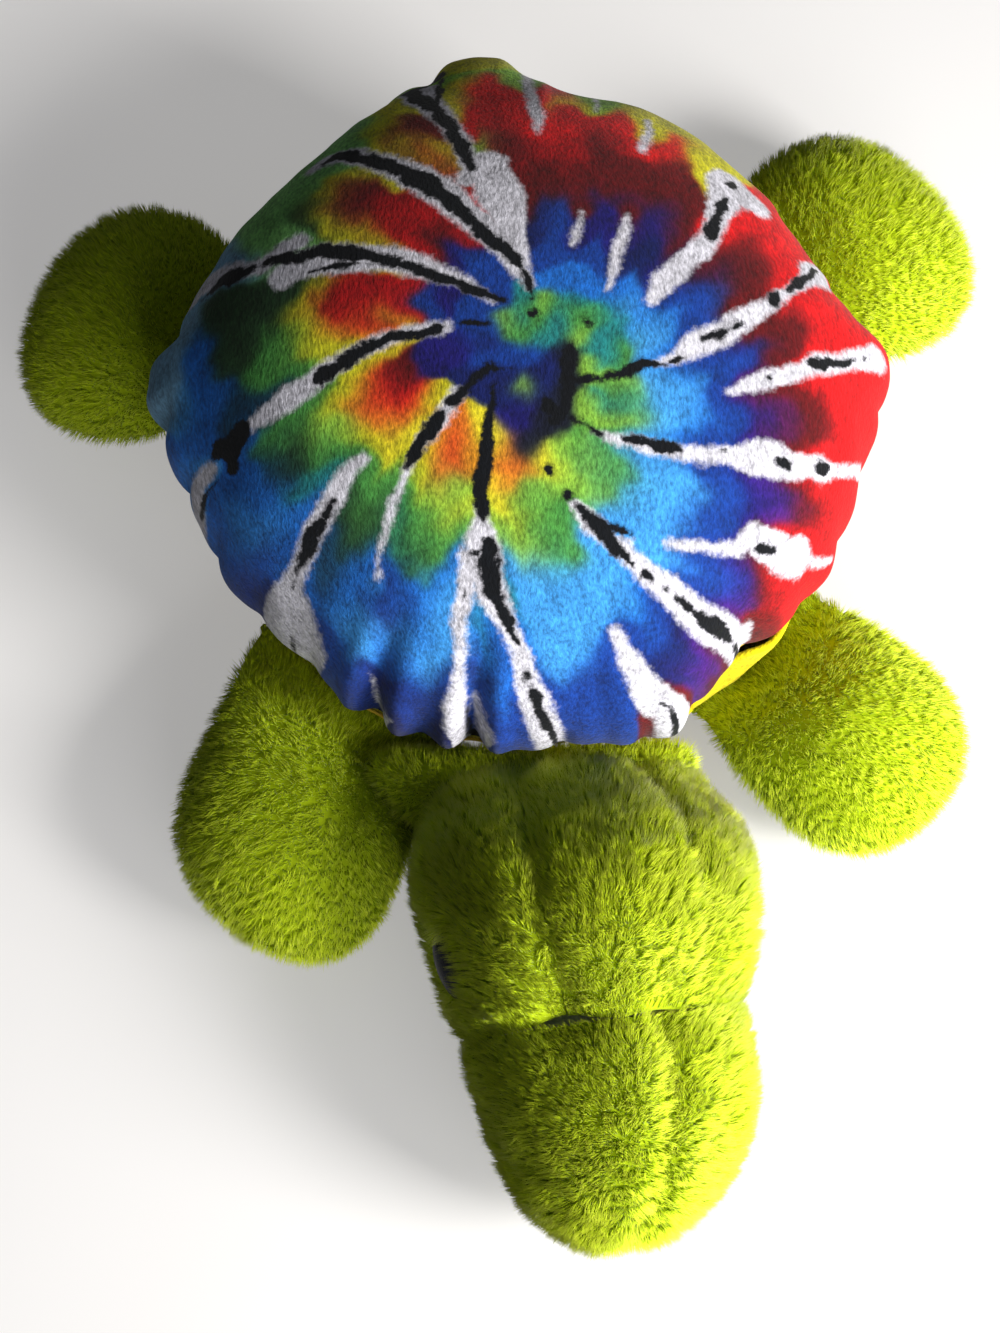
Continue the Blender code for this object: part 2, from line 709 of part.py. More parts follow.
def main():
    clear_scene()
    tie_dye = make_material("tie_dye_velboa", (0.05, 0.22, 0.62), 0.85, 0.3)
    yellow = make_material("yellow_velboa", (0.95, 0.80, 0.02), 0.85, 0.3)
    green = make_material("green_plush", (0.45, 0.68, 0.03), 0.95, 0.3)
    filling = make_material("polyester_filling", (0.90, 0.90, 0.88), 1.0)
    thread = make_material("sewing_thread", (0.85, 0.62, 0.10), 0.7)
    eye_plastic = make_material("eye_plastic", (0.006, 0.007, 0.012), 0.08)
    washer_plastic = make_material("washer_plastic", (0.85, 0.85, 0.83), 0.5)

    make_shell_cover(tie_dye)
    make_belly_cover(yellow)
    make_body_stuffing(filling)
    make_rim_thread(thread)

    neck = add_pivot("neck_pivot", neck_place())
    make_neck(neck, green, filling)
    head = add_pivot("head_pivot", neck_place(), (0, HEAD_ROLL, HEAD_YAW))
    left, right, stuffing = make_head(head, green, filling)
    make_eye("left", 1, left, stuffing, eye_plastic, washer_plastic, head)
    make_eye("right", -1, right, stuffing, eye_plastic, washer_plastic, head)

    for name, length, width, bearing, aside in LEGS:
        make_leg(name, length, width, bearing, aside, green, filling)


main()
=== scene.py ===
import json
from math import asin, cos, pi, radians, sin, tan

import bmesh
import bpy
import numpy as np
from mathutils import Matrix, Vector
from mathutils.kdtree import KDTree

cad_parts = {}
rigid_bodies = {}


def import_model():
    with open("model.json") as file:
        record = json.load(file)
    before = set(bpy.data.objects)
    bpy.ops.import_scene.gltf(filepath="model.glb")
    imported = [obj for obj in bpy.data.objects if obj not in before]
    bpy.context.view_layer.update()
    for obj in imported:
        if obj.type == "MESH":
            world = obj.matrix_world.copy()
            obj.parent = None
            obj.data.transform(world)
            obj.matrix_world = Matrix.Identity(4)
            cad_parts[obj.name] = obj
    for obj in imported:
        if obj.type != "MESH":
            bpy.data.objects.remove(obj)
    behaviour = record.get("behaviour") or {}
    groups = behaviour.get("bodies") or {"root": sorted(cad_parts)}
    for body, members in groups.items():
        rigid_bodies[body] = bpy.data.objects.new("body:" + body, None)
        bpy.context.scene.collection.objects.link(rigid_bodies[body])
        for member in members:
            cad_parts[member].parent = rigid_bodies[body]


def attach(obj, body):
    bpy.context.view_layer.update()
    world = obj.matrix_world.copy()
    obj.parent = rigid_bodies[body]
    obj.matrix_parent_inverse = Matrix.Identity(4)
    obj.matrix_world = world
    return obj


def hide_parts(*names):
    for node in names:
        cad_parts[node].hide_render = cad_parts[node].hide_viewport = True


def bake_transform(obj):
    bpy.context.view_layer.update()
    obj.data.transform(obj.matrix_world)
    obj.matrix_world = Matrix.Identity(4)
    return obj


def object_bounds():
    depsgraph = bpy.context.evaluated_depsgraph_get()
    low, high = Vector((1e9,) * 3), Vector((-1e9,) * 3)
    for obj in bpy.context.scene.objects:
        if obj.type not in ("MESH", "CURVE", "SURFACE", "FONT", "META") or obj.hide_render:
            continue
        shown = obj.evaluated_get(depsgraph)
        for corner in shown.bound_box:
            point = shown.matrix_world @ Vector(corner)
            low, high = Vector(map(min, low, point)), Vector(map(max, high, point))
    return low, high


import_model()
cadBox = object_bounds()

mm = 0.001


# Camera and light

camera = {
    "turn": -6.9,  # degrees round the turtle, 0 looks from the nose
    "height": 75.0,  # degrees above the floor
    "distance": 0.4675,
    "viewAngle": 40.0,  # degrees, top to bottom
    "target": (-0.0120, -0.0606, 0.0300),
    "nearest": 0.01,
}

light = {
    "keyPlace": (0.63, -0.47, 0.47),
    "keySize": 0.34,
    "keyPower": 14.0,
    "keyColour": (1.0, 0.985, 0.96),
    "fillPlace": (0.36, -1.05, 0.46),
    "fillSize": 0.8,
    "fillPower": 8.2,
    "fillColour": (1.0, 1.0, 1.0),
    "skyColour": (0.80, 0.84, 0.92),
    "skyStrength": 0.08,
    "aim": (0.0, -0.03, 0.03),
}


def directionFrom(turn, height):
    a, h = radians(turn), radians(height)
    return Vector((sin(a) * cos(h), -cos(a) * cos(h), sin(h)))


def placeCamera():
    data = bpy.data.cameras.new("camera")
    item = bpy.data.objects.new("camera", data)
    bpy.context.scene.collection.objects.link(item)
    away = directionFrom(camera["turn"], camera["height"])
    item.location = Vector(camera["target"]) + away * camera["distance"]
    item.rotation_euler = away.to_track_quat("Z", "Y").to_euler()
    data.sensor_fit = "VERTICAL"
    data.angle = radians(camera["viewAngle"])
    data.clip_start = camera["nearest"]
    bpy.context.scene.camera = item


def addLamp(name, part):
    data = bpy.data.lights.new(name, "AREA")
    data.size = light[part + "Size"]
    data.energy = light[part + "Power"]
    data.color = light[part + "Colour"]
    item = bpy.data.objects.new(name, data)
    bpy.context.scene.collection.objects.link(item)
    item.location = light[part + "Place"]
    away = item.location - Vector(light["aim"])
    item.rotation_euler = away.to_track_quat("Z", "Y").to_euler()


def placeLight():
    addLamp("window", "key")
    addLamp("room", "fill")
    world = bpy.data.worlds.new("sky")
    bpy.context.scene.world = world
    world.use_nodes = True
    sky = world.node_tree.nodes["Background"]
    sky.inputs["Color"].default_value = (*light["skyColour"], 1.0)
    sky.inputs["Strength"].default_value = light["skyStrength"]
    bpy.context.scene.view_settings.view_transform = "Standard"


placeCamera()
placeLight()
print("camera and light placed")


# Shared maths

latticeSteps = (374761393, 668265263, 1442695041, 974634777)  # odd numbers that scatter cells and seeds
latticeMix = 1274126177


def ease(low, high, value):
    t = np.clip((value - low) / (high - low), 0.0, 1.0)
    return t * t * (3 - 2 * t)


def curveThrough(xs, ys, x):  # a smooth curve through given points
    xs, ys = np.asarray(xs, float), np.asarray(ys, float)
    slope = np.gradient(ys, xs)
    i = np.clip(np.searchsorted(xs, x, side="right") - 1, 0, len(xs) - 2)
    gap = xs[i + 1] - xs[i]
    t = np.clip((x - xs[i]) / gap, 0.0, 1.0)
    a = (1 + 2 * t) * (1 - t) ** 2 * ys[i] + t * t * (3 - 2 * t) * ys[i + 1]
    return a + gap * (t * (1 - t) ** 2 * slope[i] - t * t * (1 - t) * slope[i + 1])


def roundCurve(table, bearing):  # the same, closed on itself after 360 degrees
    xs = np.array([row[0] for row in table], float)
    ys = np.array([row[1] for row in table], float)
    xs = np.concatenate((xs - 360, xs, xs + 360))
    return curveThrough(xs, np.tile(ys, 3), np.mod(bearing, 360))


def latticeValue(cell, seed):
    h = sum(cell[..., k] * latticeSteps[k] for k in range(3)) + seed * latticeSteps[3]
    h = (h ^ (h >> 13)) * latticeMix
    h = h ^ (h >> 16)
    return (h & 0xFFFFFF) / float(0xFFFFFF)


def softNoise(points, size, seed):  # smooth values from -1 to 1 that change over about one size
    p = np.asarray(points) / size + 1000.0
    base = np.floor(p).astype(np.int64)
    f = p - base
    f = f * f * (3 - 2 * f)
    total = np.zeros(p.shape[:-1])
    for corner in range(8):
        step = np.array([corner & 1, corner >> 1 & 1, corner >> 2 & 1])
        weight = np.prod(np.where(step, f, 1 - f), axis=-1)
        total += weight * latticeValue(base + step, seed)
    return total * 2 - 1


def noiseVector(points, size, seed):
    return np.stack([softNoise(points, size, seed + k) for k in range(3)], axis=-1)


def unit(vectors):
    return vectors / np.maximum(np.linalg.norm(vectors, axis=-1, keepdims=True), 1e-12)


def toLinear(values):  # a screen's values from 0 to 1 as amounts of light
    return np.where(values <= 0.04045, values / 12.92, ((values + 0.055) / 1.055) ** 2.4)


# Materials

def fromScreen(red, green, blue):  # a colour as a screen shows it, from 0 to 255
    return tuple(float(value) for value in toLinear(np.array([red, green, blue]) / 255.0))


def newMaterial(name):
    material = bpy.data.materials.new(name)
    material.use_nodes = True
    return material, material.node_tree, material.node_tree.nodes["Principled BSDF"]


def feed(tree, socket, value):  # the value is another node's output, or the socket's own number or colour
    if isinstance(value, bpy.types.NodeSocket):
        tree.links.new(value, socket)
    else:
        socket.default_value = (*value, 1.0) if socket.type == "RGBA" else value


def feedAll(tree, node, inputs):
    for key, value in inputs.items():
        feed(tree, node.inputs[key], value)


def addNode(tree, kind, settings=None, inputs=None):
    node = tree.nodes.new(kind)
    for key, value in (settings or {}).items():
        setattr(node, key, value)
    feedAll(tree, node, inputs or {})
    return node


def mathNode(tree, operation, *values):
    node = addNode(tree, "ShaderNodeMath", {"operation": operation})
    for socket, value in zip(node.inputs, values):
        feed(tree, socket, value)
    return node.outputs[0]


def mixColour(tree, share, first, second, blend="MIX"):
    node = addNode(tree, "ShaderNodeMix", {"data_type": "RGBA", "blend_type": blend},
                   {"Factor": share, "A": first, "B": second})
    return node.outputs["Result"]


def colourRamp(tree, share, stops):
    node = addNode(tree, "ShaderNodeValToRGB", None, {"Fac": share})
    ramp = node.color_ramp
    while len(ramp.elements) < len(stops):
        ramp.elements.new(0.5)
    for element, (place, colour) in zip(ramp.elements, stops):
        element.position = place
        element.color = (*colour, 1.0)
    return node.outputs["Color"]


def finishOf(shader, look):  # the constants of a cloth's surface
    for key, name in (("Roughness", "roughness"), ("Sheen Weight", "sheen"),
                      ("Sheen Roughness", "sheenRoughness"), ("Specular IOR Level", "shine")):
        shader.inputs[key].default_value = look[name]


def placeIn(tree):
    return addNode(tree, "ShaderNodeTexCoord").outputs["Object"]


def mottle(tree, look):  # a cloudy mask, and the colour it gives between a dark and a light tone
    mask = addNode(tree, "ShaderNodeTexNoise", None,
                   {"Vector": placeIn(tree), "Scale": look["scale"], "Detail": look["detail"],
                    "Distortion": look["distortion"]}).outputs["Fac"]
    return mask, colourRamp(tree, mask, ((look["darkAt"], look["dark"]), (look["lightAt"], look["light"])))


napLook = {
    "grainScale": 1350.0,  # grains to the metre
    "grainDetail": 3.0,
    "grainRoughness": 0.6,
    "brushingScale": 260.0,
    "brushingDetail": 2.0,
    "brushingBend": 0.6,
    "stretch": 0.45,  # less than 1 draws the grain out along the turtle
    "grainShare": 0.65,  # of the tone, brushing makes the rest
    "brushedRelief": 0.5,
    "toneFrom": 0.35,
    "toneTo": 0.65,
    "toneDark": 0.50,
    "toneLight": 1.42,
    "bumpStrength": 0.55,
    "bumpDepth": 0.0005,
    "roughness": 0.88,
    "sheen": 0.08,
    "sheenRoughness": 0.5,
    "shine": 0.2,
}


def makeNapGroup():  # short velvety pile: a tone and a height that change over the cloth
    group = bpy.data.node_groups.new("shortNap", "ShaderNodeTree")
    for way, names in (("INPUT", ("Grain Scale", "Brushing Scale")), ("OUTPUT", ("Tone", "Height"))):
        for name in names:
            group.interface.new_socket(name, in_out=way, socket_type="NodeSocketFloat")
    start = addNode(group, "NodeGroupInput").outputs
    end = addNode(group, "NodeGroupOutput")
    place = addNode(group, "ShaderNodeMapping", None,
                    {"Vector": placeIn(group), "Scale": (1.0, napLook["stretch"], 1.0)}).outputs["Vector"]
    grain = addNode(group, "ShaderNodeTexNoise", None,
                    {"Vector": place, "Scale": start["Grain Scale"], "Detail": napLook["grainDetail"],
                     "Roughness": napLook["grainRoughness"]}).outputs["Fac"]
    brushed = addNode(group, "ShaderNodeTexNoise", None,
                      {"Vector": place, "Scale": start["Brushing Scale"], "Detail": napLook["brushingDetail"],
                       "Distortion": napLook["brushingBend"]}).outputs["Fac"]
    tone = mathNode(group, "MULTIPLY", brushed, 1 - napLook["grainShare"])
    tone = mathNode(group, "MULTIPLY_ADD", grain, napLook["grainShare"], tone)
    height = mathNode(group, "MULTIPLY_ADD", brushed, napLook["brushedRelief"], grain)
    feedAll(group, end, {"Tone": tone, "Height": height})
    return group


napGroup = makeNapGroup()


def addNap(tree, shader, colour):
    nap = addNode(tree, "ShaderNodeGroup", {"node_tree": napGroup},
                  {"Grain Scale": napLook["grainScale"], "Brushing Scale": napLook["brushingScale"]}).outputs
    spread = addNode(tree, "ShaderNodeMapRange", None,
                     {"Value": nap["Tone"], "From Min": napLook["toneFrom"], "From Max": napLook["toneTo"],
                      "To Min": napLook["toneDark"], "To Max": napLook["toneLight"]}).outputs["Result"]
    tone = addNode(tree, "ShaderNodeCombineXYZ", None, {axis: spread for axis in "XYZ"}).outputs["Vector"]
    bump = addNode(tree, "ShaderNodeBump", None,
                   {"Height": nap["Height"], "Strength": napLook["bumpStrength"],
                    "Distance": napLook["bumpDepth"]}).outputs["Normal"]
    feedAll(tree, shader, {"Base Color": mixColour(tree, 1.0, colour, tone, "MULTIPLY"), "Normal": bump})
    finishOf(shader, napLook)


dyedCloth = {
    "white": fromScreen(205, 203, 212),
    "black": fromScreen(5, 8, 14),
    "frayScale": 620.0,
    "frayDetail": 4.0,
    "frayRoughness": 0.65,
    "fray": 3.0,  # mm by which the dye's edges wander
    "whiteEdge": 1.1,  # mm over which an edge fades
    "blackEdge": 0.6,
}


def makeDyedVelboa():
    material, tree, shader = newMaterial("tieDyeVelboa")
    colour = addNode(tree, "ShaderNodeAttribute", {"attribute_name": "dye"}).outputs["Color"]
    fray = addNode(tree, "ShaderNodeTexNoise", None,
                   {"Vector": placeIn(tree), "Scale": dyedCloth["frayScale"],
                    "Detail": dyedCloth["frayDetail"],
                    "Roughness": dyedCloth["frayRoughness"]}).outputs["Fac"]
    wander = mathNode(tree, "MULTIPLY_ADD", fray, dyedCloth["fray"], -0.5 * dyedCloth["fray"])
    for field in ("white", "black"):
        edge = dyedCloth[field + "Edge"]
        reach = addNode(tree, "ShaderNodeAttribute", {"attribute_name": field + "Reach"}).outputs["Fac"]
        share = addNode(tree, "ShaderNodeMapRange", {"interpolation_type": "SMOOTHSTEP"},
                        {"Value": mathNode(tree, "ADD", reach, wander),
                         "From Min": -edge, "From Max": edge}).outputs["Result"]
        colour = mixColour(tree, share, colour, dyedCloth[field])
    addNap(tree, shader, colour)
    return material


yellowLook = {
    "scale": 60.0,
    "detail": 2.0,
    "distortion": 0.0,
    "dark": fromScreen(198, 180, 5),
    "darkAt": 0.3,
    "light": fromScreen(216, 198, 9),
    "lightAt": 0.7,
}


def makeYellowVelboa():
    material, tree, shader = newMaterial("yellowVelboa")
    addNap(tree, shader, mottle(tree, yellowLook)[1])
    return material


plushLook = {
    # painted shade: each strand is darkest at its root and lightest at its tip, standing in for the shade
    # deep in the pile
    "root": fromScreen(168, 188, 10),
    "middle": fromScreen(206, 226, 20),
    "middleAt": 0.45,
    "paleMiddleAt": 0.4,
    "tip": fromScreen(234, 246, 58),
    "paleTip": fromScreen(240, 246, 96),
    "roughness": 0.85,
    "sheen": 0.12,
    "sheenRoughness": 0.4,
    "shine": 0.2,
}


def makeGreenPlush():  # the strands carry a map: across is the strand's tint, up runs from root to tip, from painted shade at the root to a lighter tip
    material, tree, shader = newMaterial("greenPlush")
    where = addNode(tree, "ShaderNodeUVMap", {"uv_map": "OFBake"}).outputs["UV"]
    parts = addNode(tree, "ShaderNodeSeparateXYZ", None, {"Vector": where}).outputs
    full, pale = (
        colourRamp(tree, parts["Y"],
                   ((0.0, plushLook["root"]), (plushLook[at], plushLook["middle"]), (1.0, plushLook[tip])))
        for at, tip in (("middleAt", "tip"), ("paleMiddleAt", "paleTip")))
    feed(tree, shader.inputs["Base Color"], mixColour(tree, parts["X"], full, pale))
    finishOf(shader, plushLook)
    return material


threadLook = {
    "dark": fromScreen(190, 150, 20),
    "light": fromScreen(240, 205, 60),
    "twistScale": 900.0,
    "twistBend": 1.0,
    "roughness": 0.6,
}


def makeThreadFinish():
    material, tree, shader = newMaterial("gatheringThread")
    twist = addNode(tree, "ShaderNodeTexWave", {"wave_type": "BANDS", "bands_direction": "DIAGONAL"},
                    {"Vector": placeIn(tree), "Scale": threadLook["twistScale"],
                     "Distortion": threadLook["twistBend"]}).outputs["Fac"]
    colour = colourRamp(tree, twist, ((0.0, threadLook["dark"]), (1.0, threadLook["light"])))
    feedAll(tree, shader, {"Base Color": colour, "Roughness": threadLook["roughness"]})
    return material


fillingLook = {
    "scale": 420.0,
    "detail": 5.0,
    "distortion": 2.0,
    "dark": fromScreen(205, 205, 200),
    "darkAt": 0.3,
    "light": fromScreen(245, 245, 242),
    "lightAt": 0.7,
    "bumpStrength": 0.5,
    "bumpDepth": 0.001,
    "roughness": 1.0,
}


def makeFillingFinish():
    material, tree, shader = newMaterial("polyesterFilling")
    fibre, colour = mottle(tree, fillingLook)
    bump = addNode(tree, "ShaderNodeBump", None,
                   {"Height": fibre, "Strength": fillingLook["bumpStrength"],
                    "Distance": fillingLook["bumpDepth"]})
    feedAll(tree, shader, {"Base Color": colour, "Normal": bump.outputs["Normal"],
                           "Roughness": fillingLook["roughness"]})
    return material


eyeLook = {
    "scale": 300.0,
    "detail": 3.0,
    "distortion": 0.0,
    "dark": fromScreen(9, 11, 18),
    "darkAt": 0.35,
    "light": fromScreen(22, 28, 42),
    "lightAt": 0.65,
    "smoothest": 0.18,
    "roughest": 0.30,
    "bending": 1.08,  # how much its surface mirrors
    "shine": 0.2,
}


def makeEyePlastic():
    material, tree, shader = newMaterial("eyePlastic")
    haze, colour = mottle(tree, eyeLook)
    rough = addNode(tree, "ShaderNodeMapRange", None,
                    {"Value": haze, "To Min": eyeLook["smoothest"], "To Max": eyeLook["roughest"]})
    feedAll(tree, shader, {"Base Color": colour, "Roughness": rough.outputs["Result"],
                           "IOR": eyeLook["bending"], "Specular IOR Level": eyeLook["shine"]})
    return material


washerLook = {
    "scale": 500.0,
    "detail": 2.0,
    "distortion": 0.0,
    "dark": fromScreen(225, 225, 220),
    "darkAt": 0.3,
    "light": fromScreen(240, 240, 236),
    "lightAt": 0.7,
    "roughness": 0.5,
}


def makeWasherPlastic():
    material, tree, shader = newMaterial("washerPlastic")
    feedAll(tree, shader, {"Base Color": mottle(tree, washerLook)[1], "Roughness": washerLook["roughness"]})
    return material


dyedVelboa = makeDyedVelboa()
yellowVelboa = makeYellowVelboa()
greenPlush = makeGreenPlush()
gatheringThread = makeThreadFinish()
polyesterFilling = makeFillingFinish()
eyePlastic = makeEyePlastic()
washerPlastic = makeWasherPlastic()
print("materials made")


# Meshes

def spotsOf(bm):
    return np.array([v.co for v in bm.verts], float)


def putSpots(bm, spots):
    for vertex, spot in zip(bm.verts, spots):
        vertex.co = spot


def meshFrom(name, bm):
    mesh = bpy.data.meshes.new(name)
    bm.to_mesh(mesh)
    bm.free()
    return mesh


def finishPiece(name, mesh, material):
    mesh.materials.append(material)
    mesh.shade_smooth()
    item = bpy.data.objects.new(name, mesh)
    bpy.context.scene.collection.objects.link(item)
    return item


def gridOf(bm, rows, columns):  # a flat grid's vertices, each with its row and its column
    bmesh.ops.create_grid(bm, x_segments=rows, y_segments=columns, size=0.5)
    return [(v, round((v.co.x + 0.5) * rows), round((v.co.y + 0.5) * columns)) for v in bm.verts]


def ballOf(name, rounds, rings):  # a ball's mesh, each point's share of the way down, and its bearing
    bm = bmesh.new()
    bmesh.ops.create_uvsphere(bm, u_segments=rounds, v_segments=rings, radius=1.0)
    mesh = meshFrom(name, bm)
    spots = np.empty(len(mesh.vertices) * 3)
    mesh.vertices.foreach_get("co", spots)
    spots = spots.reshape(-1, 3)
    down = np.arccos(np.clip(spots[:, 2], -1, 1)) / pi
    return mesh, down, np.degrees(np.arctan2(spots[:, 1], spots[:, 0])) % 360


def aroundMiddle(radius, bearing, height):
    turn = np.radians(bearing)
    return np.stack((radius * np.cos(turn), radius * np.sin(turn), height), axis=-1)


def reshape(mesh, spots):  # the spots are in mm
    mesh.vertices.foreach_set("co", (spots * mm).ravel())
    mesh.update()


# Every piece says here what it rides on and the nodes it replaces
def dress(item, body, nodes):
    if isinstance(body, str):
        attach(item, body)
    else:
        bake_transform(item)  # over a joint the piece is given two bodies and where it bends, which go unused: it is left unattached where it is
    if nodes:
        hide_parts(*nodes)


# Shell: a gathered round of cloth, drawn in all round its seam. Lengths here are in mm.

shell = {
    "rounds": 600,
    "rings": 150,
    "coverShare": 0.93,  # of the rings, the others line the inside
    "topSteps": 900,  # points of the outline from the top to the widest place
    "tuckSteps": 120,  # and from there to the seam
    "seamRadius": 84.3,
    "seamHeight": 44.15,
    "widestRadius": 87.8,
    "widestHeight": 50.5,
    "top": float(cadBox[1][2]) / mm,
    "fullness": 2.25,
    "fabric": 1.6,
    "slopeStep": 0.4,
    "reachFrom": 45.0,  # along the cloth from the top, where the rim's uneven reach begins
    "reachTo": 100.0,
    "lobeFrom": 76.0,
    "lobeTo": 104.0,
    "lobeAbove": 88.6,
    "wave": 0.7,
    "waveSize": 26.0,
    "waveFrom": 10.0,  # along the cloth
    "waveTo": 50.0,
    "ripple": 0.35,
    "rippleSize": 9.0,
    "rippleFrom": 60.0,
    "rippleTo": 90.0,
    "droopFrom": 62.0,  # along the cloth
    "droopTo": 102.0,
    "padding": 0.85,
}

fold = {
    "stopsShort": 2.0,  # of the widest place, from where it has its full depth
    "seamLossShare": 0.35,  # of its depth
    "rimWidthShare": 0.75,
    "spreadShare": 0.45,  # by which it is wider where it begins
    "ridgeShare": 0.4,  # of its depth, the cloth raised on either side
    "ridgeAway": 2.1,  # half widths from its middle
}

flatTopped, bellShaped = 4, 2  # powers of a hump round the rim

# Bearing from +X in degrees and how far the rim stands out there
rimReach = (
    (2, 93.8), (7, 88.4), (14.6, 85.6), (20, 84.6), (35, 84.4), (60, 86.9), (79, 89.1), (86, 98.0),
    (92.6, 98.8), (98, 93.6), (102, 91.2), (112, 87.2), (131, 84.3), (141, 85.5), (152, 86.6),
    (162, 87.9), (168, 92.7), (173, 92.7), (178.5, 89.1), (184, 87.7), (193, 85.2), (199, 85.3),
    (206.5, 85.0), (214, 84.0), (222, 83.2), (229, 84.4), (239, 86.6), (248, 86.4), (263, 86.6),
    (277, 87.4), (282, 90.3), (288, 90.5), (297, 85.4), (304, 83.4), (312, 86.0), (320, 87.0),
    (328, 87.2), (338, 87.4), (346, 88.8), (354.5, 92.4),
)

# Bearing, half width and how far the rim hangs lower there
rimDroops = ((222, 36, 5.0), (268, 22, 1.6))

# Bearing of a fold, its depth, its half width and how far it runs in from the rim
rimFolds = (
    (238.5, 4.2, 3.4, 44), (255.5, 4.2, 3.0, 45), (225, 0.8, 4.0, 26), (270, 1.2, 3.0, 22),
    (283, 1.6, 3.0, 24), (292, 1.6, 3.0, 26), (212, 0.9, 4.0, 26), (200, 0.9, 3.5, 22), (188, 1.2, 3.0, 24),
    (177, 1.8, 3.0, 24), (163, 1.6, 3.0, 22), (150, 1.0, 3.5, 18), (137, 1.1, 3.0, 20), (122, 1.2, 3.0, 18),
    (108, 1.4, 3.0, 22), (82, 1.6, 2.6, 20), (98, 1.6, 2.6, 22), (70, 1.3, 3.0, 20), (57, 1.1, 3.0, 18),
    (43, 1.2, 3.0, 20), (28, 1.1, 3.0, 18), (12, 1.6, 2.6, 22), (352, 1.1, 3.2, 18), (341, 0.7, 4.0, 18),
    (329, 0.8, 4.0, 18), (317, 0.9, 4.0, 18), (305, 1.3, 3.2, 22), (247, 0.8, 3.0, 20),
)


def shellOutline():  # radius, height and length along the cloth, from the top down to the seam
    turn = np.linspace(pi / 2, 0, shell["topSteps"])
    power = 2 / shell["fullness"]
    radius = shell["widestRadius"] * np.cos(turn).clip(0) ** power
    height = shell["widestHeight"] + (shell["top"] - shell["widestHeight"]) * np.sin(turn).clip(0) ** power
    radius[0] = 0.0
    tuck = np.linspace(0, pi / 2, shell["tuckSteps"])[1:]
    inset, drop = shell["widestRadius"] - shell["seamRadius"], shell["widestHeight"] - shell["seamHeight"]
    radius = np.concatenate((radius, shell["seamRadius"] + inset * np.cos(tuck)))
    height = np.concatenate((height, shell["widestHeight"] - drop * np.sin(tuck)))
    along = np.concatenate(([0.0], np.cumsum(np.hypot(np.diff(radius), np.diff(height)))))
    return radius, height, along


outlineRadius, outlineHeight, outlineAlong = shellOutline()
widestAlong, seamAlong = outlineAlong[shell["topSteps"] - 1], outlineAlong[-1]


def outlineAt(along):
    return np.interp(along, outlineAlong, outlineRadius), np.interp(along, outlineAlong, outlineHeight)


def bearingFrom(middle, bearing):  # from -180 to 180 degrees
    return (bearing - middle + 180) % 360 - 180


def bearingHumps(humps, bearing, power):  # each hump is its middle, half width and height
    total = np.zeros(np.shape(bearing))
    for middle, wide, height in humps:
        total = total + height * np.exp(-((np.abs(bearingFrom(middle, bearing)) / wide) ** power))
    return total


def rimDroop(bearing):
    return bearingHumps(rimDroops, bearing, flatTopped)


def foldPush(along, bearing):  # a fold goes in and raises a ridge on each side
    push = np.zeros(np.shape(along))
    for middle, deep, wide, runs in rimFolds:
        across = outlineRadius.max() * np.radians(bearingFrom(middle, bearing))
        fade = ease(widestAlong - runs, widestAlong - fold["stopsShort"], along)
        fade = fade * (1 - fold["seamLossShare"] * ease(widestAlong, seamAlong, along))
        begun = ease(widestAlong, widestAlong - runs, along)
        spread = wide * (fold["rimWidthShare"] + fold["spreadShare"] * begun)
        ridges = sum(np.exp(-(((across - way * fold["ridgeAway"] * wide) / wide) ** 2)) for way in (1, -1))
        push = push + deep * fade * (fold["ridgeShare"] * ridges - np.exp(-((across / spread) ** 2)))
    return push


def shellPoint(along, bearing, depth):  # radius and height of a place this deep under the cloth's face
    radius, height = outlineAt(along)
    ahead, behind = outlineAt(along + shell["slopeStep"]), outlineAt(along - shell["slopeStep"])
    leanR, leanZ = ahead[0] - behind[0], ahead[1] - behind[1]
    length = np.maximum(np.hypot(leanR, leanZ), 1e-6)
    normalR, normalZ = -leanZ / length, leanR / length

    reach = roundCurve(rimReach, bearing)
    general = np.minimum(reach, shell["lobeAbove"]) / shell["widestRadius"] - 1
    lobe = np.maximum(reach - shell["lobeAbove"], 0.0) / shell["widestRadius"]
    reachShare = 1 + general * ease(shell["reachFrom"], shell["reachTo"], along)
    reachShare = reachShare + lobe * ease(shell["lobeFrom"], shell["lobeTo"], along)

    plain = aroundMiddle(radius, bearing, height)
    push = foldPush(along, bearing) - depth
    for name, seed in (("wave", 5), ("ripple", 8)):
        share = ease(shell[name + "From"], shell[name + "To"], along)
        push = push + shell[name] * softNoise(plain, shell[name + "Size"], seed) * share
    seamPull = 1 - ease(widestAlong, seamAlong, along)  # the folds die out in height at the seam
    radius = radius * reachShare + normalR * push
    height = height + normalZ * push * seamPull
    height = height - rimDroop(bearing) * ease(shell["droopFrom"], shell["droopTo"], along)
    return radius, height


def flatRadius(radius, along):  # how far out a point of the cloth lay when it was flat
    onTop = slice(0, shell["topSteps"])
    flat = np.interp(np.minimum(radius, shell["widestRadius"]), outlineRadius[onTop], outlineAlong[onTop])
    return flat + np.maximum(radius - shell["widestRadius"], 0) + np.maximum(along - widestAlong, 0)


# Dye: strokes run outwards as (x, y, half width) on the cloth laid flat, in mm, +y to the rear

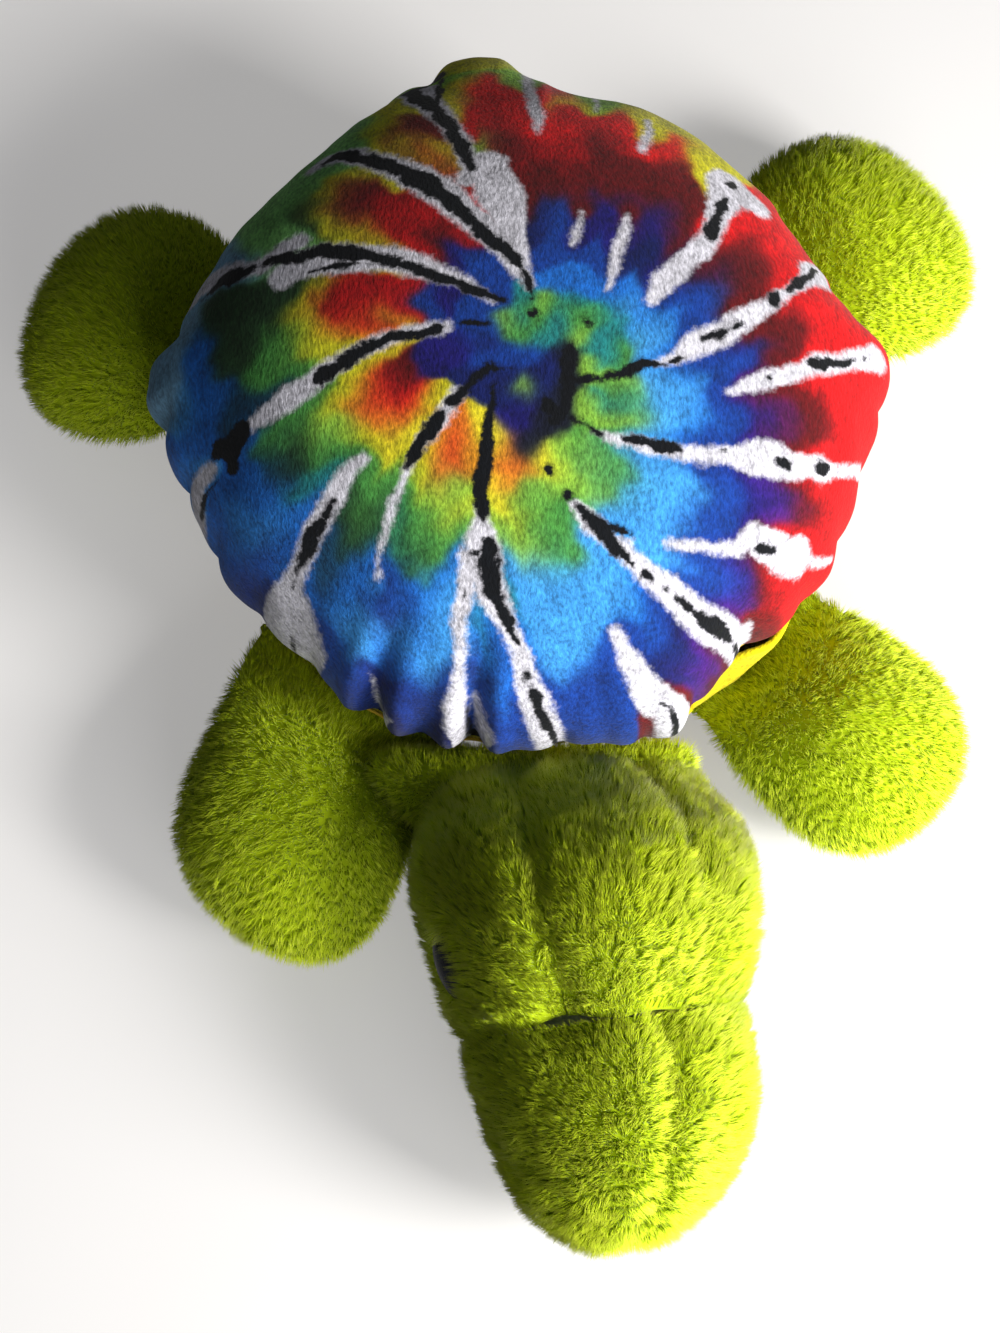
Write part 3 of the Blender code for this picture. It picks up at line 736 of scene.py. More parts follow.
blackStrokes = (
    ((-6, 49, 1.2), (-7.5, 56, 2.2), (-10, 65, 2.2), (-13, 74, 2), (-17, 83, 2.5), (-19, 92, 2.5),
     (-17, 100, 2.5), (-12, 108, 2.5)),
    ((-13, 74, 1.2), (-11.5, 85, 1.2), (-11, 95, 1.2), (-10, 105, 1.2)),
    ((4.5, 10, 0.8), (3, 18, 1), (1, 23, 1.2), (-3, 27, 1.5), (-8, 34, 1.8), (-13, 41, 2.2), (-18, 48, 3),
     (-24, 53, 2.5), (-30, 58, 2.2), (-35, 62.5, 2), (-39.5, 65, 1.8), (-43, 63.5, 0.8)),
    ((-3, 10.5, 0.8), (-8, 13, 1), (-14, 17, 1.2), (-20, 20.5, 1.4), (-27, 24.5, 2), (-33, 28, 2),
     (-40, 31, 2.2), (-45, 32.5, 2.2), (-50, 32, 1.8), (-55, 34, 1.6), (-59, 35, 1.2)),
    ((-63, 35, 1), (-65, 34, 1.2), (-70, 34.5, 2.6), (-75, 34.5, 1.6), (-81, 33, 0.4)),
    ((-33, 25.5, 0.7), (-41, 27, 0.7), (-47, 26.5, 0.7)),
    ((-18.5, 5.5, 1.4), (-24, 5, 1.2), (-30, 5, 1.6), (-35, 3.5, 2), (-40, 1.5, 2), (-45, -1.5, 2.2),
     (-48, -2, 1.6)),
    ((-16, 6, 0.6), (-7, 5.2, 0.5)),
    ((-69, -9.5, 2.5), (-73, -12.5, 3.5), (-77, -11.5, 2.2)),
    ((-73, -12.5, 2.6), (-73, -17, 1.3)),
    ((-88, -23, 0.7), (-82, -20, 0.7), (-78, -19, 0.7)),
    ((-14.5, -11, 1.6), (-17, -13, 1.5)),
    ((-20.5, -16.5, 1.2), (-24, -20, 2), (-27, -24, 2), (-29, -27, 1)),
    ((-48, -32, 0.8), (-49, -33, 1.4), (-50, -34, 0.8)),
    ((-52, -36, 1.6), (-55, -39, 2.2), (-58, -43, 1.4), (-60, -45.5, 0.6), (-62, -48, 0.5)),
    ((-66.6, -58.1, 0.7), (-67.8, -59.5, 0.7)),
    ((11.5, -3, 1.2), (11, -4.5, 2), (10, -8, 1.6), (9.5, -12, 1.6), (8, -17, 1.8), (5, -20, 1.6)),
    ((4.5, -16.5, 1.8), (5.5, -17.5, 2)),
    ((3.8, 6.5, 1.4), (4.4, 6.2, 1.4)),
    ((16.3, 2.6, 1.2), (16.8, 2.3, 1.2)),
    ((-3, -6.5, 0.7), (-7.5, -5.5, 1.1), (-12, -8.5, 1.1), (-14.5, -11, 1.1)),
    ((-7, -10, 0.6), (-9, -17, 0.9), (-10.5, -23, 1.6), (-12.5, -30, 2.2), (-13.5, -37, 1.6),
     (-13.5, -42, 0.8)),
    ((-13.5, -46.5, 1.4), (-14, -52, 3), (-13.5, -58, 2.4), (-12, -62, 1.6), (-10.5, -67, 1.6),
     (-9.5, -71, 1)),
    ((-7.4, -77.6, 0.8), (-7.2, -78.6, 0.8)),
    ((-6.5, -82, 1.2), (-5, -88, 1.8), (-3, -94, 1.6), (-1, -100, 1.6), (0, -106, 1.5)),
    ((-16.6, -49.4, 1.1), (-18.5, -48, 0.8)),
    ((-20, -57, 0.7), (-20, -58, 0.7)),
    ((-23.5, -82, 0.8), (-23.5, -88, 1.8), (-23.5, -96, 2.5), (-24, -104, 2.5)),
    ((2.8, -31.6, 1), (3.2, -32.4, 1)),
    ((6.2, -37.6, 0.9), (6.8, -38.4, 0.9)),
    ((9, -42, 1.2), (12, -45, 2.2), (15, -49, 2), (17, -52, 1.6), (19.5, -55, 0.9)),
    ((22.5, -58, 1.3), (24, -59, 1)),
    ((26.7, -61.2, 0.8), (27.3, -61.8, 0.8)),
    ((29, -63.5, 1), (33, -67, 1.4), (38, -70, 1.8), (43, -73.5, 2.2), (45, -74.5, 1.2)),
    ((47, -76, 1.6), (49, -77, 1.9)),
    ((16, -46, 0.6), (20, -48, 0.6)),
    ((25.5, -93, 0.7), (29, -98, 0.9), (32, -103, 1), (34, -108, 1.2)),
    ((9, -19.5, 0.8), (12, -22, 0.8), (16.5, -25.5, 0.7)),
    ((21, -26.5, 1.2), (25, -28, 1.4), (29, -29, 1.4), (33, -30, 1)),
    ((43.6, -31, 0.5), (44.4, -31, 0.5)),
    ((57.6, -33.3, 1.7), (59.4, -33.7, 1.7)),
    ((71.4, -34.4, 1.5), (72.6, -34.6, 1.5)),
    ((51.5, -54, 1), (55, -54.8, 1)),
    ((58.2, -13.5, 0.7), (58.8, -13.5, 0.7)),
    ((70.5, -9.5, 1.4), (74, -9, 1.8)),
    ((77, -7.8, 1), (83, -6.5, 1), (88, -5.5, 0.8)),
    ((92, -5, 0.9), (94, -4.5, 0.9)),
    ((11, -11, 0.9), (16.5, -11, 0.7)),
    ((18, -11.5, 1), (23, -10.5, 1.7), (28, -9, 1.4), (33, -9, 0.7), (37, -7.5, 0.4)),
    ((43, -3, 1), (48, -1, 1.2), (53, 1, 0.8)),
    ((62.4, 7.7, 1.7), (63.6, 8.3, 1.7)),
    ((68, 11.5, 1), (73, 15, 1.2), (78, 18.5, 1), (82, 22, 1)),
    ((49.5, 25.5, 1.8), (52, 30, 1.5), (55, 34.5, 1.6), (57, 38, 1)),
    ((59.7, 43.6, 1.3), (60.3, 44.4, 1.3)),
)

whiteStrokes = (
    ((-6, 49, 3), (-8, 60, 3), (-12, 72, 3.5), (-16, 82, 5), (-17, 92, 6)),
    ((-2, 49, 5.5), (0, 40, 6), (1.5, 32, 4.5), (3, 25, 2.5), (4.5, 19, 1)),
    ((-8, 46, 3), (-4, 47, 4)),
    ((4, 14, 1.8), (0, 25, 3.5), (-7, 34, 4), (-14, 43, 5), (-20, 50, 4.5), (-28, 56.5, 3.5),
     (-36, 63, 3.5), (-42, 65, 3), (-47, 63, 2)),
    ((-5, 10.5, 1), (-12, 17, 2.2), (-20, 21.5, 3.2), (-28, 26, 4), (-36, 28, 4.5), (-45, 29.5, 5),
     (-50, 30, 4.5), (-55, 28, 4)),
    ((-50, 37, 3), (-60, 34, 3), (-66, 35, 3), (-74, 37, 4), (-80, 39, 3.5), (-86, 37, 3)),
    ((-17, 5.5, 2.2), (-24, 6, 2), (-32, 4.5, 2.6), (-40, 1.5, 2.8), (-48, -2, 3)),
    ((-50, -3, 3), (-55, -5, 3.5), (-60, -7, 2.8), (-66, -9, 2)),
    ((-80, -15, 2.5), (-88, -18, 4), (-90, -24, 4)),
    ((-16, -11.5, 2), (-20, -16.5, 2.2), (-25, -21, 2.2), (-30, -29, 1.2), (-33, -34, 1.5), (-36, -40, 1.2),
     (-38.5, -45, 0.7), (-39.5, -51, 0.7)),
    ((-39, -23, 1.6), (-44, -26, 2.6), (-48, -31, 3), (-53, -37, 3.2), (-58, -43, 2.8), (-63, -48, 2.8),
     (-67, -49, 3)),
    ((-60, -46, 2.5), (-66, -51, 6), (-70, -54, 6), (-66, -60, 5)),
    ((-62, -52, 4), (-61, -60, 3.5), (-60, -65, 2.5)),
    ((-14, -39, 1.6), (-14.5, -45, 3.5), (-15, -51, 5), (-14, -58, 4.2), (-11.5, -65, 3), (-9, -72, 2.6),
     (-7.5, -79, 3), (-6, -86, 4), (-4.5, -93, 5), (-3, -100, 5.5)),
    ((-18, -50, 3), (-20, -57, 2.6), (-22.5, -64, 2), (-23, -71, 1.6), (-25, -78, 2), (-27, -84, 3.5),
     (-28, -92, 3.5), (-28, -100, 3.5)),
    ((-21, -80, 1), (-20.5, -90, 1.2), (-20, -100, 1.5)),
    ((-46, -72, 0.7), (-47, -80, 1.4), (-48, -88, 1.8)),
    ((8, -41, 1.8), (12, -46, 2.8), (17, -51, 2.5), (22, -57, 2.8), (28, -62, 3.8), (34, -68, 4.5),
     (40, -72, 5.5), (46, -75, 4.5), (49, -73, 3)),
    ((14, -71, 1.8), (16, -77, 2.5), (20, -84, 4), (24, -91, 5), (29, -98, 6), (34, -105, 6.5)),
    ((14, -24, 0.8), (19, -26.5, 1.6), (25, -28.5, 2.2), (32, -30.5, 2), (38, -31.5, 2), (45, -32, 2.5),
     (52, -33, 4.5), (57, -33, 4.8), (62, -34, 3.5), (67, -34.5, 3), (71, -35, 3.8), (76, -35, 2),
     (84, -34.5, 1.6), (90, -33, 2)),
    ((16, -48, 0.8), (20, -50, 0.8)),
    ((28, -51, 1), (33, -52.5, 1.8), (40, -53.5, 1.4), (46, -53, 2.5), (50, -51, 3.5), (54, -53.5, 4.5),
     (59, -56, 5), (63, -56.5, 5.5), (67, -57.5, 2), (73, -58.5, 1.4), (80, -58, 1.5)),
    ((47, -17, 0.8), (52, -15, 2), (58, -13.5, 3), (63, -12.5, 2.4), (68, -11, 2.2), (73, -8.8, 3.2),
     (80, -7, 2.6), (88, -5.5, 2.8), (96, -4, 4), (106, -3, 5)),
    ((30, -9, 0.8), (36, -7, 2.2), (42, -4, 3.8), (48, -1.5, 3.6), (54, 2, 3), (60, 5.5, 2.5),
     (66, 9.5, 2.2), (73, 14, 2), (78, 18.5, 4.5), (82, 20, 5.5)),
    ((32, 7.5, 1.8), (36, 12, 3.5), (41, 16.5, 3.5), (46, 20.5, 3), (50, 25, 2.8), (53, 31, 3.5),
     (56, 37, 5), (59, 43, 6.5), (66, 38, 4.5)),
    ((16, 23.5, 1), (17, 27, 1.5), (19, 33, 0.6)),
    ((22, 11, 1), (25, 17, 1.6), (27, 23, 2.2), (28.5, 27, 1.6), (29.5, 31, 0.6)),
    ((12, 60, 1), (12.5, 66, 2.2), (12.5, 75, 2.2), (13, 85, 2), (14, 95, 2), (17, 105, 2.5)),
    ((28, 68, 0.6), (30, 78, 1.4)),
    ((37.5, 52, 1.4), (40, 58, 1.6), (42, 66, 1.2)),
)

dyeTints = {
    "royal": (15, 56, 138), "navy": (14, 26, 85), "indigo": (25, 20, 100), "sky": (60, 145, 216),
    "azure": (25, 100, 190), "teal": (30, 120, 120), "green": (68, 138, 60), "lime": (130, 180, 60),
    "olive": (200, 195, 30), "yellow": (225, 210, 40), "orange": (215, 110, 30), "red": (205, 14, 18),
    "maroon": (90, 8, 12), "purple": (60, 20, 110), "darkGreen": (30, 60, 30), "ink": (15, 20, 35),
    # the pale slate and pale green tints are the dye lightened with painted sheen
    "slateWithPaintedSheen": (105, 150, 180), "greenWithPaintedSheen": (112, 176, 92), "crimson": (160, 8, 14), "darkTeal": (15, 55, 75),
}

# Where each dye was dropped on the flat cloth
dyeDrops = {
    "teal": ((7.5, 1.5), (10.5, 2), (14, 8), (22, 7), (3, 10.5), (17.5, -5), (16.5, -33.5), (14, -33),
        (19, -17.5), (22.5, -18), (16.5, -16), (23, -1), (18, -3.5), (-17.5, -65), (-14.5, -69.5), (0, 5),
        (5, 0), (20, -5), (-35, -45), (25, -20), (10, 5), (20, 5), (-55, -28)),
    "darkGreen": ((-46.5, -38), (-43, -42), (-32, -46.5), (-47, 47), (-58, 20), (-65, 20), (-70, 10),
        (-75, 25), (-55, -18), (-45, -38)),
    "ink": ((10, -5), (9.5, -10), (8, -15), (5.5, -17), (2.5, -18.5), (7, -20), (0, -24.5), (-3, -26)),
    "royal": ((-8.5, -2.5), (-3, -4.5), (2, -3.5), (-6, 3), (-10.5, 9), (-33.5, -85.5), (-42, -82),
        (49, -22), (44.5, -26.5), (47.5, -36.5), (42.5, -44), (42.5, -49.5), (39, -58.5), (43, -63.5),
        (53, -4), (49, 9.5), (44, 4.5), (-78, -38), (-36, -55), (-17.5, -88.5), (-12.5, -92.5),
        (-58, -67.5), (-2, -3), (-10, 2), (-4, 12), (10, 22), (22, 22), (15, 33), (-8, 25), (-5, 20),
        (-12, 10), (-70, -38), (-40, -70), (-35, -80), (-40, -85), (-32, -88), (-15, -95), (10, -90),
        (8, -100), (25, -73), (20, -78), (38, -58), (45, -60), (42, -64), (48, -24), (50, -20), (45, -10),
        (52, -7), (42, 7), (48, 10), (5, -83), (45, -38), (40, -45), (35, -47), (-78, -45), (-52, -73),
        (-54, -69.5), (-22, 12)),
    "navy": ((3.5, -9.5), (7, -7), (-3.5, -8), (-11, -9), (-6, -13), (1.5, -13.5), (-3, -15), (2, -10),
        (-80, -42), (-77, -46), (-50.5, -73), (-43.5, -78), (-41.5, -84), (-35.5, -82), (-31, -94),
        (-39, -92), (-37.5, -59), (-18.5, -80), (-8, 0), (33, 20), (8, 34), (-38, -95), (30, -78),
        (28, -85)),
    "azure": ((-62, -38.5), (-49, -51.5), (-54.5, -56), (-50, -57.5), (-34.5, -61), (-39, -71),
        (-14, -74.5), (-13, -80), (15, 14.5), (20, 12), (26.5, 12), (-80, 15), (-82, -30), (-70, -45),
        (12, 12), (8, 14), (16, 14), (24, 8), (-45, -50), (-28, -55), (-33, -65), (-55, -68), (-18, -65),
        (-17, -75), (-16, -85), (20, -68), (40, -25), (40, -10), (30, 2), (36, 3), (-35, -55), (-80, 5),
        (-72, -22), (-69, -29), (-65, -25), (-75, 0), (-85, -5), (-95, -10), (-80, -38), (-62, -33),
        (-75, -32)),
    "sky": ((28.5, -17), (29.5, -23), (25, -36), (21.5, -40), (28.5, -1), (33, 3.5), (-34.5, -66.5),
        (-73, -30), (36.5, -14), (32.5, -19.5), (36.5, -21.5), (25.5, -37), (31, -42), (27.5, -46),
        (22, -41.5), (28, -52), (17, -60), (33, -2.5), (-49, -62), (-49.5, -65.5), (-26.5, -60),
        (-25.5, -65), (-27, -71), (-29.5, -77), (26, 6), (-25, -65), (-47, -65), (-3, -55), (3, -58),
        (-2, -65), (8, -60), (10, -70), (0, -75), (15, -65), (22, -40), (30, -40), (25, -45), (35, -37),
        (25, -55), (32, -57), (30, -16), (35, -22), (30, -3), (28, -13), (38, -12), (-73, -34),
        (-50, -60), (-38, -66), (-88, 2), (-92, -16), (-66, -33.5)),
    "indigo": ((-3.5, -17.5), (-0.5, -17), (-4, -21), (-12, 0), (38, 28), (22, 32), (30, 30), (-12, 27),
        (-17, 13), (-22, 0), (-4, -20), (50, -43), (57, -42), (50, -62), (57, -24), (57, -5), (45, 14),
        (50, 18)),
    "purple": ((61.5, -19), (56.5, -41.5), (62, -46.5), (48.5, -61), (47.5, -66.5), (35, -83), (38, -90),
        (42, -80), (62, -45), (60, -24)),
    "maroon": ((55, 14.5), (67, 3), (62, -3.5), (71, -18.5), (72, -23), (69, -44), (68, -49), (55.5, -62),
        (60, -72), (12, 44), (20, 44), (28, 42), (35, 45), (43, 28), (45, 45), (48, 38), (-22, 66),
        (-19, 71), (5, 55), (2, 62), (-16, 32), (-38, 48), (-35, 43), (43, -88), (35, -98), (66, -45),
        (55, -62), (58, -71), (62, -22), (68, -20), (72, -25), (62, -2), (70, 2), (65, -5), (52, 12),
        (55, 18), (60, 20), (60, 12), (-30, -5), (36, 36), (27, 55.5), (28, 50)),
    "red": ((-1, 82), (1, 90), (45, 55), (20, 80), (-8, 45), (-40, 10), (-35, -8), (-28, -10), (-18, -27),
        (72, -42), (78, -45), (72, -50), (68, -52), (58, -68), (63, -65), (68, -62), (66, -68), (75, -15),
        (80, -20), (80, -28), (90, -15), (75, 5), (80, 0), (85, 8), (95, 10), (66, 20), (70, 25),
        (60, 28), (70, 33), (75, 28), (20, 60), (34, 60), (8, 72), (35, 65), (5, 65), (15, 62), (22, 65),
        (-3, 72), (5, 80)),
    "orange": ((-5.5, -29), (-6, -31.5), (-16.5, -22.5), (-38, -8), (-33, -14), (-20, -22), (-23, -28),
        (-6, -25), (-5, -32)),
    "yellow": ((-12.5, -21), (-8, -23), (-9, -35), (-15, -27), (-9, -40), (2.5, -29.5), (5, -34),
        (-19.5, -42), (-10, -43), (-40, 7), (-32, 9), (-8, -37), (-33, -20)),
    "olive": ((25, 75), (45, 65), (52, 52), (40, 72), (-25, 62), (-28, 72), (-25, 85), (-42, 42),
        (-35, 36), (-42, 50), (-50, 18), (-50, 10), (-50, 3), (-40, -3), (-45, -8), (-25, -13),
        (-38, -20), (-28, -32), (-8, 80), (-7, 89), (-14, 60), (0, 107)),
    "lime": ((-0.5, -12), (15, -31), (12.5, -17), (17, -27.5), (8.5, -36), (14, -38.5), (23, -21),
        (15, -8), (13.5, 0), (13, -17), (14.5, -21), (17, -24), (25, -23), (20.5, -13.5), (25, -14.5),
        (13.5, -35.5), (10, -38), (6.5, -33), (-2, 4.5), (7, 8.5), (-22.5, -42), (-9.5, -48), (30, 80),
        (-9, 56), (-4, 60), (-6, 97), (5, 99), (9, 92), (-45, -15), (-20, -33), (-17, -38), (-2, -38),
        (-6, -48), (5, -40), (10, -33), (8, -28), (15, -30), (15, -18), (18, -22)),
    "green": ((3.5, 8), (-1, 3.5), (5, 3.5), (8.5, 7.5), (1, 1), (24, -6), (12, -27), (18, -38),
        (-2.5, -37.5), (1, -40), (22, -32.5), (17, -33.5), (13.5, -27), (5, -50), (13.5, 5), (18.5, 4.5),
        (14, 2), (-44, -38), (-37, -44), (-29, -42.5), (-24.5, -46.5), (-55, 10), (-60, 3), (-52, -10),
        (-60, -13), (-48, -22), (-30, -40), (-25, -45), (-42, -32), (0, -45), (3, -48), (18, -35),
        (20, -15)),
    # pale slate along the outer left rim, a painted sheen on the dye
    "slateWithPaintedSheen": ((-72, 42), (-85, 25), (-90, 20), (-92, 8)),
    "darkTeal": ((-70, -3), (-60, -20), (-48, -43), (-52, -50)),
    "crimson": ((-15, 57), (-12, 50), (-12, 33), (-22, 35), (-28, 40), (-28, 13), (-35, 14), (-42, 14),
        (-44, 18), (12, 56), (20, 52), (33, 55)),
    # pale green along the outer rear-left band, a painted sheen on the dye
    "greenWithPaintedSheen": ((-35, 75), (-35, 90), (-50, 55), (-60, 50), (-65, 42), (-57, 45)),
}

dyeing = {
    "runInside": 1.7,  # mm over which dyes run into each other in the middle
    "runOutside": 3.3,
    "insideTo": 16.0,  # mm from the middle
    "outsideFrom": 44.0,
    "whiteTrim": 0.35,
    "blackWander": 0.7,
    "blackWanderSize": 3.6,
    "wideSize": 9.0,
    "fineSize": 3.2,
    "strokeWander": 0.5,
    "wideWander": 1.8,
    "fineWander": 1.3,
    "wanderFrom": -10.0,
    "wanderTo": 40.0,
    "fringeShift": 7.0,  # beside a white streak the dye looks as it does this much further out
    "fringeWidth": 3.2,
    "fringeFrom": 12.0,
    "fringeTo": 30.0,
    "farAway": 40.0,  # past this a place has no stroke near it
    "batch": 20000,  # places worked out at once
}


def strokeReach(strokes, places):  # how far inside a stroke each place lies, in mm, less than 0 outside
    best = np.full(len(places), -dyeing["farAway"])
    for stroke in strokes:
        rows = np.array(stroke, float)
        for start, end in zip(rows, rows[1:]):
            step = end[:2] - start[:2]
            t = np.clip(((places - start[:2]) @ step) / max(step @ step, 1e-9), 0, 1)
            away = np.linalg.norm(places - start[:2] - t[:, None] * step, axis=1)
            best = np.maximum(best, start[2] + (end[2] - start[2]) * t - away)
    return best


def dyeColour(places):
    spots = np.array([spot for name in dyeDrops for spot in dyeDrops[name]], float)
    tints = np.array([dyeTints[name] for name in dyeDrops for spot in dyeDrops[name]], float) / 255
    colours = np.empty((len(places), 3))
    for first in range(0, len(places), dyeing["batch"]):
        some = places[first:first + dyeing["batch"]]
        away = ((some[:, None, :] - spots[None, :, :]) ** 2).sum(axis=2)
        away -= away.min(axis=1, keepdims=True)
        outer = ease(dyeing["insideTo"], dyeing["outsideFrom"], np.linalg.norm(some, axis=1))[:, None]
        run = dyeing["runInside"] + (dyeing["runOutside"] - dyeing["runInside"]) * outer
        weight = np.exp(-away / (2 * run ** 2))
        colours[first:first + dyeing["batch"]] = weight @ tints / weight.sum(axis=1, keepdims=True)
    return toLinear(colours)


def dyeCloth(mesh, radius, along, bearing):
    flat = flatRadius(radius, along)
    solid = aroundMiddle(flat, bearing, np.zeros(len(flat)))
    places = solid[:, :2]
    wide = noiseVector(solid, dyeing["wideSize"], 21)[:, :2]
    fine = noiseVector(solid, dyeing["fineSize"], 31)[:, :2]
    strokePlaces = places + dyeing["strokeWander"] * (wide + fine)
    whiteReach, blackReach = (strokeReach(strokes, strokePlaces) for strokes in (whiteStrokes, blackStrokes))
    blackReach = blackReach + dyeing["blackWander"] * softNoise(solid, dyeing["blackWanderSize"], 41)
    for name, reach in (("whiteReach", whiteReach - dyeing["whiteTrim"]), ("blackReach", blackReach)):
        mesh.attributes.new(name, "FLOAT", "POINT").data.foreach_set("value", reach)

    fringe = dyeing["fringeShift"] * np.exp(-((whiteReach.clip(None, 0) / dyeing["fringeWidth"]) ** 2))
    outwards = fringe * ease(dyeing["fringeFrom"], dyeing["fringeTo"], flat)
    wander = dyeing["wideWander"] * wide + dyeing["fineWander"] * fine
    wander = wander * ease(dyeing["wanderFrom"], dyeing["wanderTo"], flat)[:, None]
    colour = np.ones((len(places), 4))
    colour[:, :3] = dyeColour(places + wander + unit(places) * outwards[:, None])
    mesh.color_attributes.new("dye", "FLOAT_COLOR", "POINT").data.foreach_set("color", colour.ravel())


def makeShell():
    mesh, down, bearing = ballOf("shell", shell["rounds"], shell["rings"])
    cover = shell["coverShare"]
    outside = down <= cover
    along = np.where(outside, down / cover, (1 - down) / (1 - cover)) * seamAlong
    radius, height = shellPoint(along, bearing, np.where(outside, 0.0, shell["fabric"]))
    reshape(mesh, aroundMiddle(radius, bearing, height))
    dyeCloth(mesh, radius, along, bearing)
    mesh.update()
    item = finishPiece("tieDyeShell", mesh, dyedVelboa)
    dress(item, "body", ["shell_cover"])


makeShell()
print("shell made")


# Belly

belly = {
    "rounds": 240,
    "rings": 90,
    "coverShare": 0.9,  # of the rings, the others line the inside
    "restShare": 0.30,  # of the cover, flat on the table
    "wallShare": 0.86,  # where the wall ends and the tuck to the rim begins
    "restRadius": 44.0,
    "widestRadius": 85.2,
    "widestHeight": 33.0,
    "topHeight": 43.85,
    "fullness": 2.6,
    "fabric": 1.6,
    "insideRim": 0.4,
    "peeks": ((309, 10, 5.4), (292, 6, 3.0)),  # bearing, half width and how far it shows past the rim
    "draws": ((225, 34, 4.8), (268, 22, 3.6)),  # bearing, half width and how far the wall is drawn in
    "drawFrom": 4.0,  # heights between which the draws set in
    "drawTo": 18.0,
    "seamFrom": 20.0,  # height over which the wall bends to the rim's own outline
    "steadyHeight": 12.0,  # below it the wall doesn't follow the drooping rim
    "wrinkle": 0.6,
    "wrinkleSize": 7.0,
    "wrinkleHeightShare": 0.35,  # less than 1 draws the wrinkles out upwards
    "wrinkleFrom": 3.0,
    "wrinkleTo": 20.0,
    "liningFrom": 2.0,  # heights between which the lining turns from above the cover to beside it
    "liningTo": 20.0,
    "padding": 0.8,
}


def seamRadiusAt(bearing):
    return shellPoint(np.full(np.shape(bearing), seamAlong), bearing, 0.0)[0]


def bellyDraw(bearing):
    return bearingHumps(belly["draws"], bearing, flatTopped)


def makeBelly():
    mesh, down, bearing = ballOf("belly", belly["rounds"], belly["rings"])
    up, cover = 1 - down, belly["coverShare"]
    outside = up <= cover
    share = np.where(outside, up / cover, (1 - up) / (1 - cover))
    power = 2 / belly["fullness"]
    rest, wall, top = belly["restShare"], belly["wallShare"], belly["topHeight"]
    turn = np.clip((share - rest) / (wall - rest), 0, 1) * pi / 2
    swell = (belly["widestRadius"] - belly["restRadius"]) * np.sin(turn).clip(0) ** power
    radius = belly["restRadius"] + swell
    radius = np.where(share < rest, belly["restRadius"] * share / rest, radius)
    height = np.where(share < rest, 0.0, belly["widestHeight"] * (1 - np.cos(turn).clip(0) ** power))
    height = height + (top - belly["widestHeight"]) * np.clip((share - wall) / (1 - wall), 0, 1)
    steady = belly["steadyHeight"]
    height = height - (height - steady).clip(0) * rimDroop(bearing) / (top - steady)

    seam = seamRadiusAt(bearing) - belly["insideRim"] + bearingHumps(belly["peeks"], bearing, bellShaped)
    radius = radius - bellyDraw(bearing) * ease(belly["drawFrom"], belly["drawTo"], height)
    radius = radius + (seam - radius) * ease(belly["seamFrom"], top, height) * (share > rest)
    plain = aroundMiddle(radius, bearing, height) * (1, 1, belly["wrinkleHeightShare"])
    wrinkled = ease(belly["wrinkleFrom"], belly["wrinkleTo"], height)
    radius = radius + belly["wrinkle"] * softNoise(plain, belly["wrinkleSize"], 61) * wrinkled
    inward = np.where(outside, 0.0, belly["fabric"])
    radius = np.maximum(radius - inward, 0)
    height = height + inward * (1 - ease(belly["liningFrom"], belly["liningTo"], height))
    reshape(mesh, aroundMiddle(radius, bearing, height))
    item = finishPiece("yellowBelly", mesh, yellowVelboa)
    dress(item, "body", ["belly_cover"])


# Filling of the body, inside both covers

bodyFilling = {
    "rounds": 96,
    "rings": 48,
    "upperShare": 0.55,  # of the rings, under the shell
    "inside": 3.4,
    "wallInside": 2.4,
    "pastBelly": 1.0,
}


def makeBodyFilling():
    mesh, down, bearing = ballOf("bodyFilling", bodyFilling["rounds"], bodyFilling["rings"])
    split, inside = bodyFilling["upperShare"], bodyFilling["inside"]
    radius, height = shellPoint(np.minimum(down / split, 1) * widestAlong, bearing, inside)
    below = np.clip((down - split) / (1 - split), 0, 1)
    turn, power = below * pi / 2, 2 / belly["fullness"]
    widest = np.minimum(radius, belly["widestRadius"] + bodyFilling["pastBelly"])
    widest = widest - bodyFilling["wallInside"] - bellyDraw(bearing)
    radius = np.where(below > 0, widest * np.cos(turn).clip(0) ** power, radius)
    height = np.where(below > 0, height - (height - inside) * np.sin(turn).clip(0) ** power, height)
    reshape(mesh, aroundMiddle(radius, bearing, height))
    item = finishPiece("bodyFilling", mesh, polyesterFilling)
    dress(item, "body", ["body_stuffing"])


# Gathering thread, in the groove between the two covers

thread = {
    "rounds": 360,
    "sides": 6,
    "radius": 0.5,
    "height": 44.0,
    "outside": 0.9,
    "joins": 0.01,  # points closer than this become one
}


def makeRimThread():
    bm = bmesh.new()
    bearings = np.arange(thread["rounds"]) * 360.0 / thread["rounds"]
    reaches = seamRadiusAt(bearings) + thread["outside"]
    heights = thread["height"] - rimDroop(bearings)
    for vertex, step, side in gridOf(bm, thread["rounds"], thread["sides"]):
        step %= thread["rounds"]
        turn = 2 * pi * side / thread["sides"]
        reach = reaches[step] + thread["radius"] * cos(turn)
        height = heights[step] + thread["radius"] * sin(turn)
        vertex.co = aroundMiddle(reach, bearings[step], height) * mm
    bmesh.ops.remove_doubles(bm, verts=bm.verts, dist=thread["joins"] * mm)
    bmesh.ops.recalc_face_normals(bm, faces=bm.faces)
    item = finishPiece("rimThread", meshFrom("rimThread", bm), gatheringThread)
    dress(item, "body", ["rim_gathering_thread"])


makeBelly()
makeBodyFilling()
makeRimThread()
print("belly, filling and thread made")


# Plush pile: each panel is a sheet of backing cloth with closed, tapered strands sewn into it

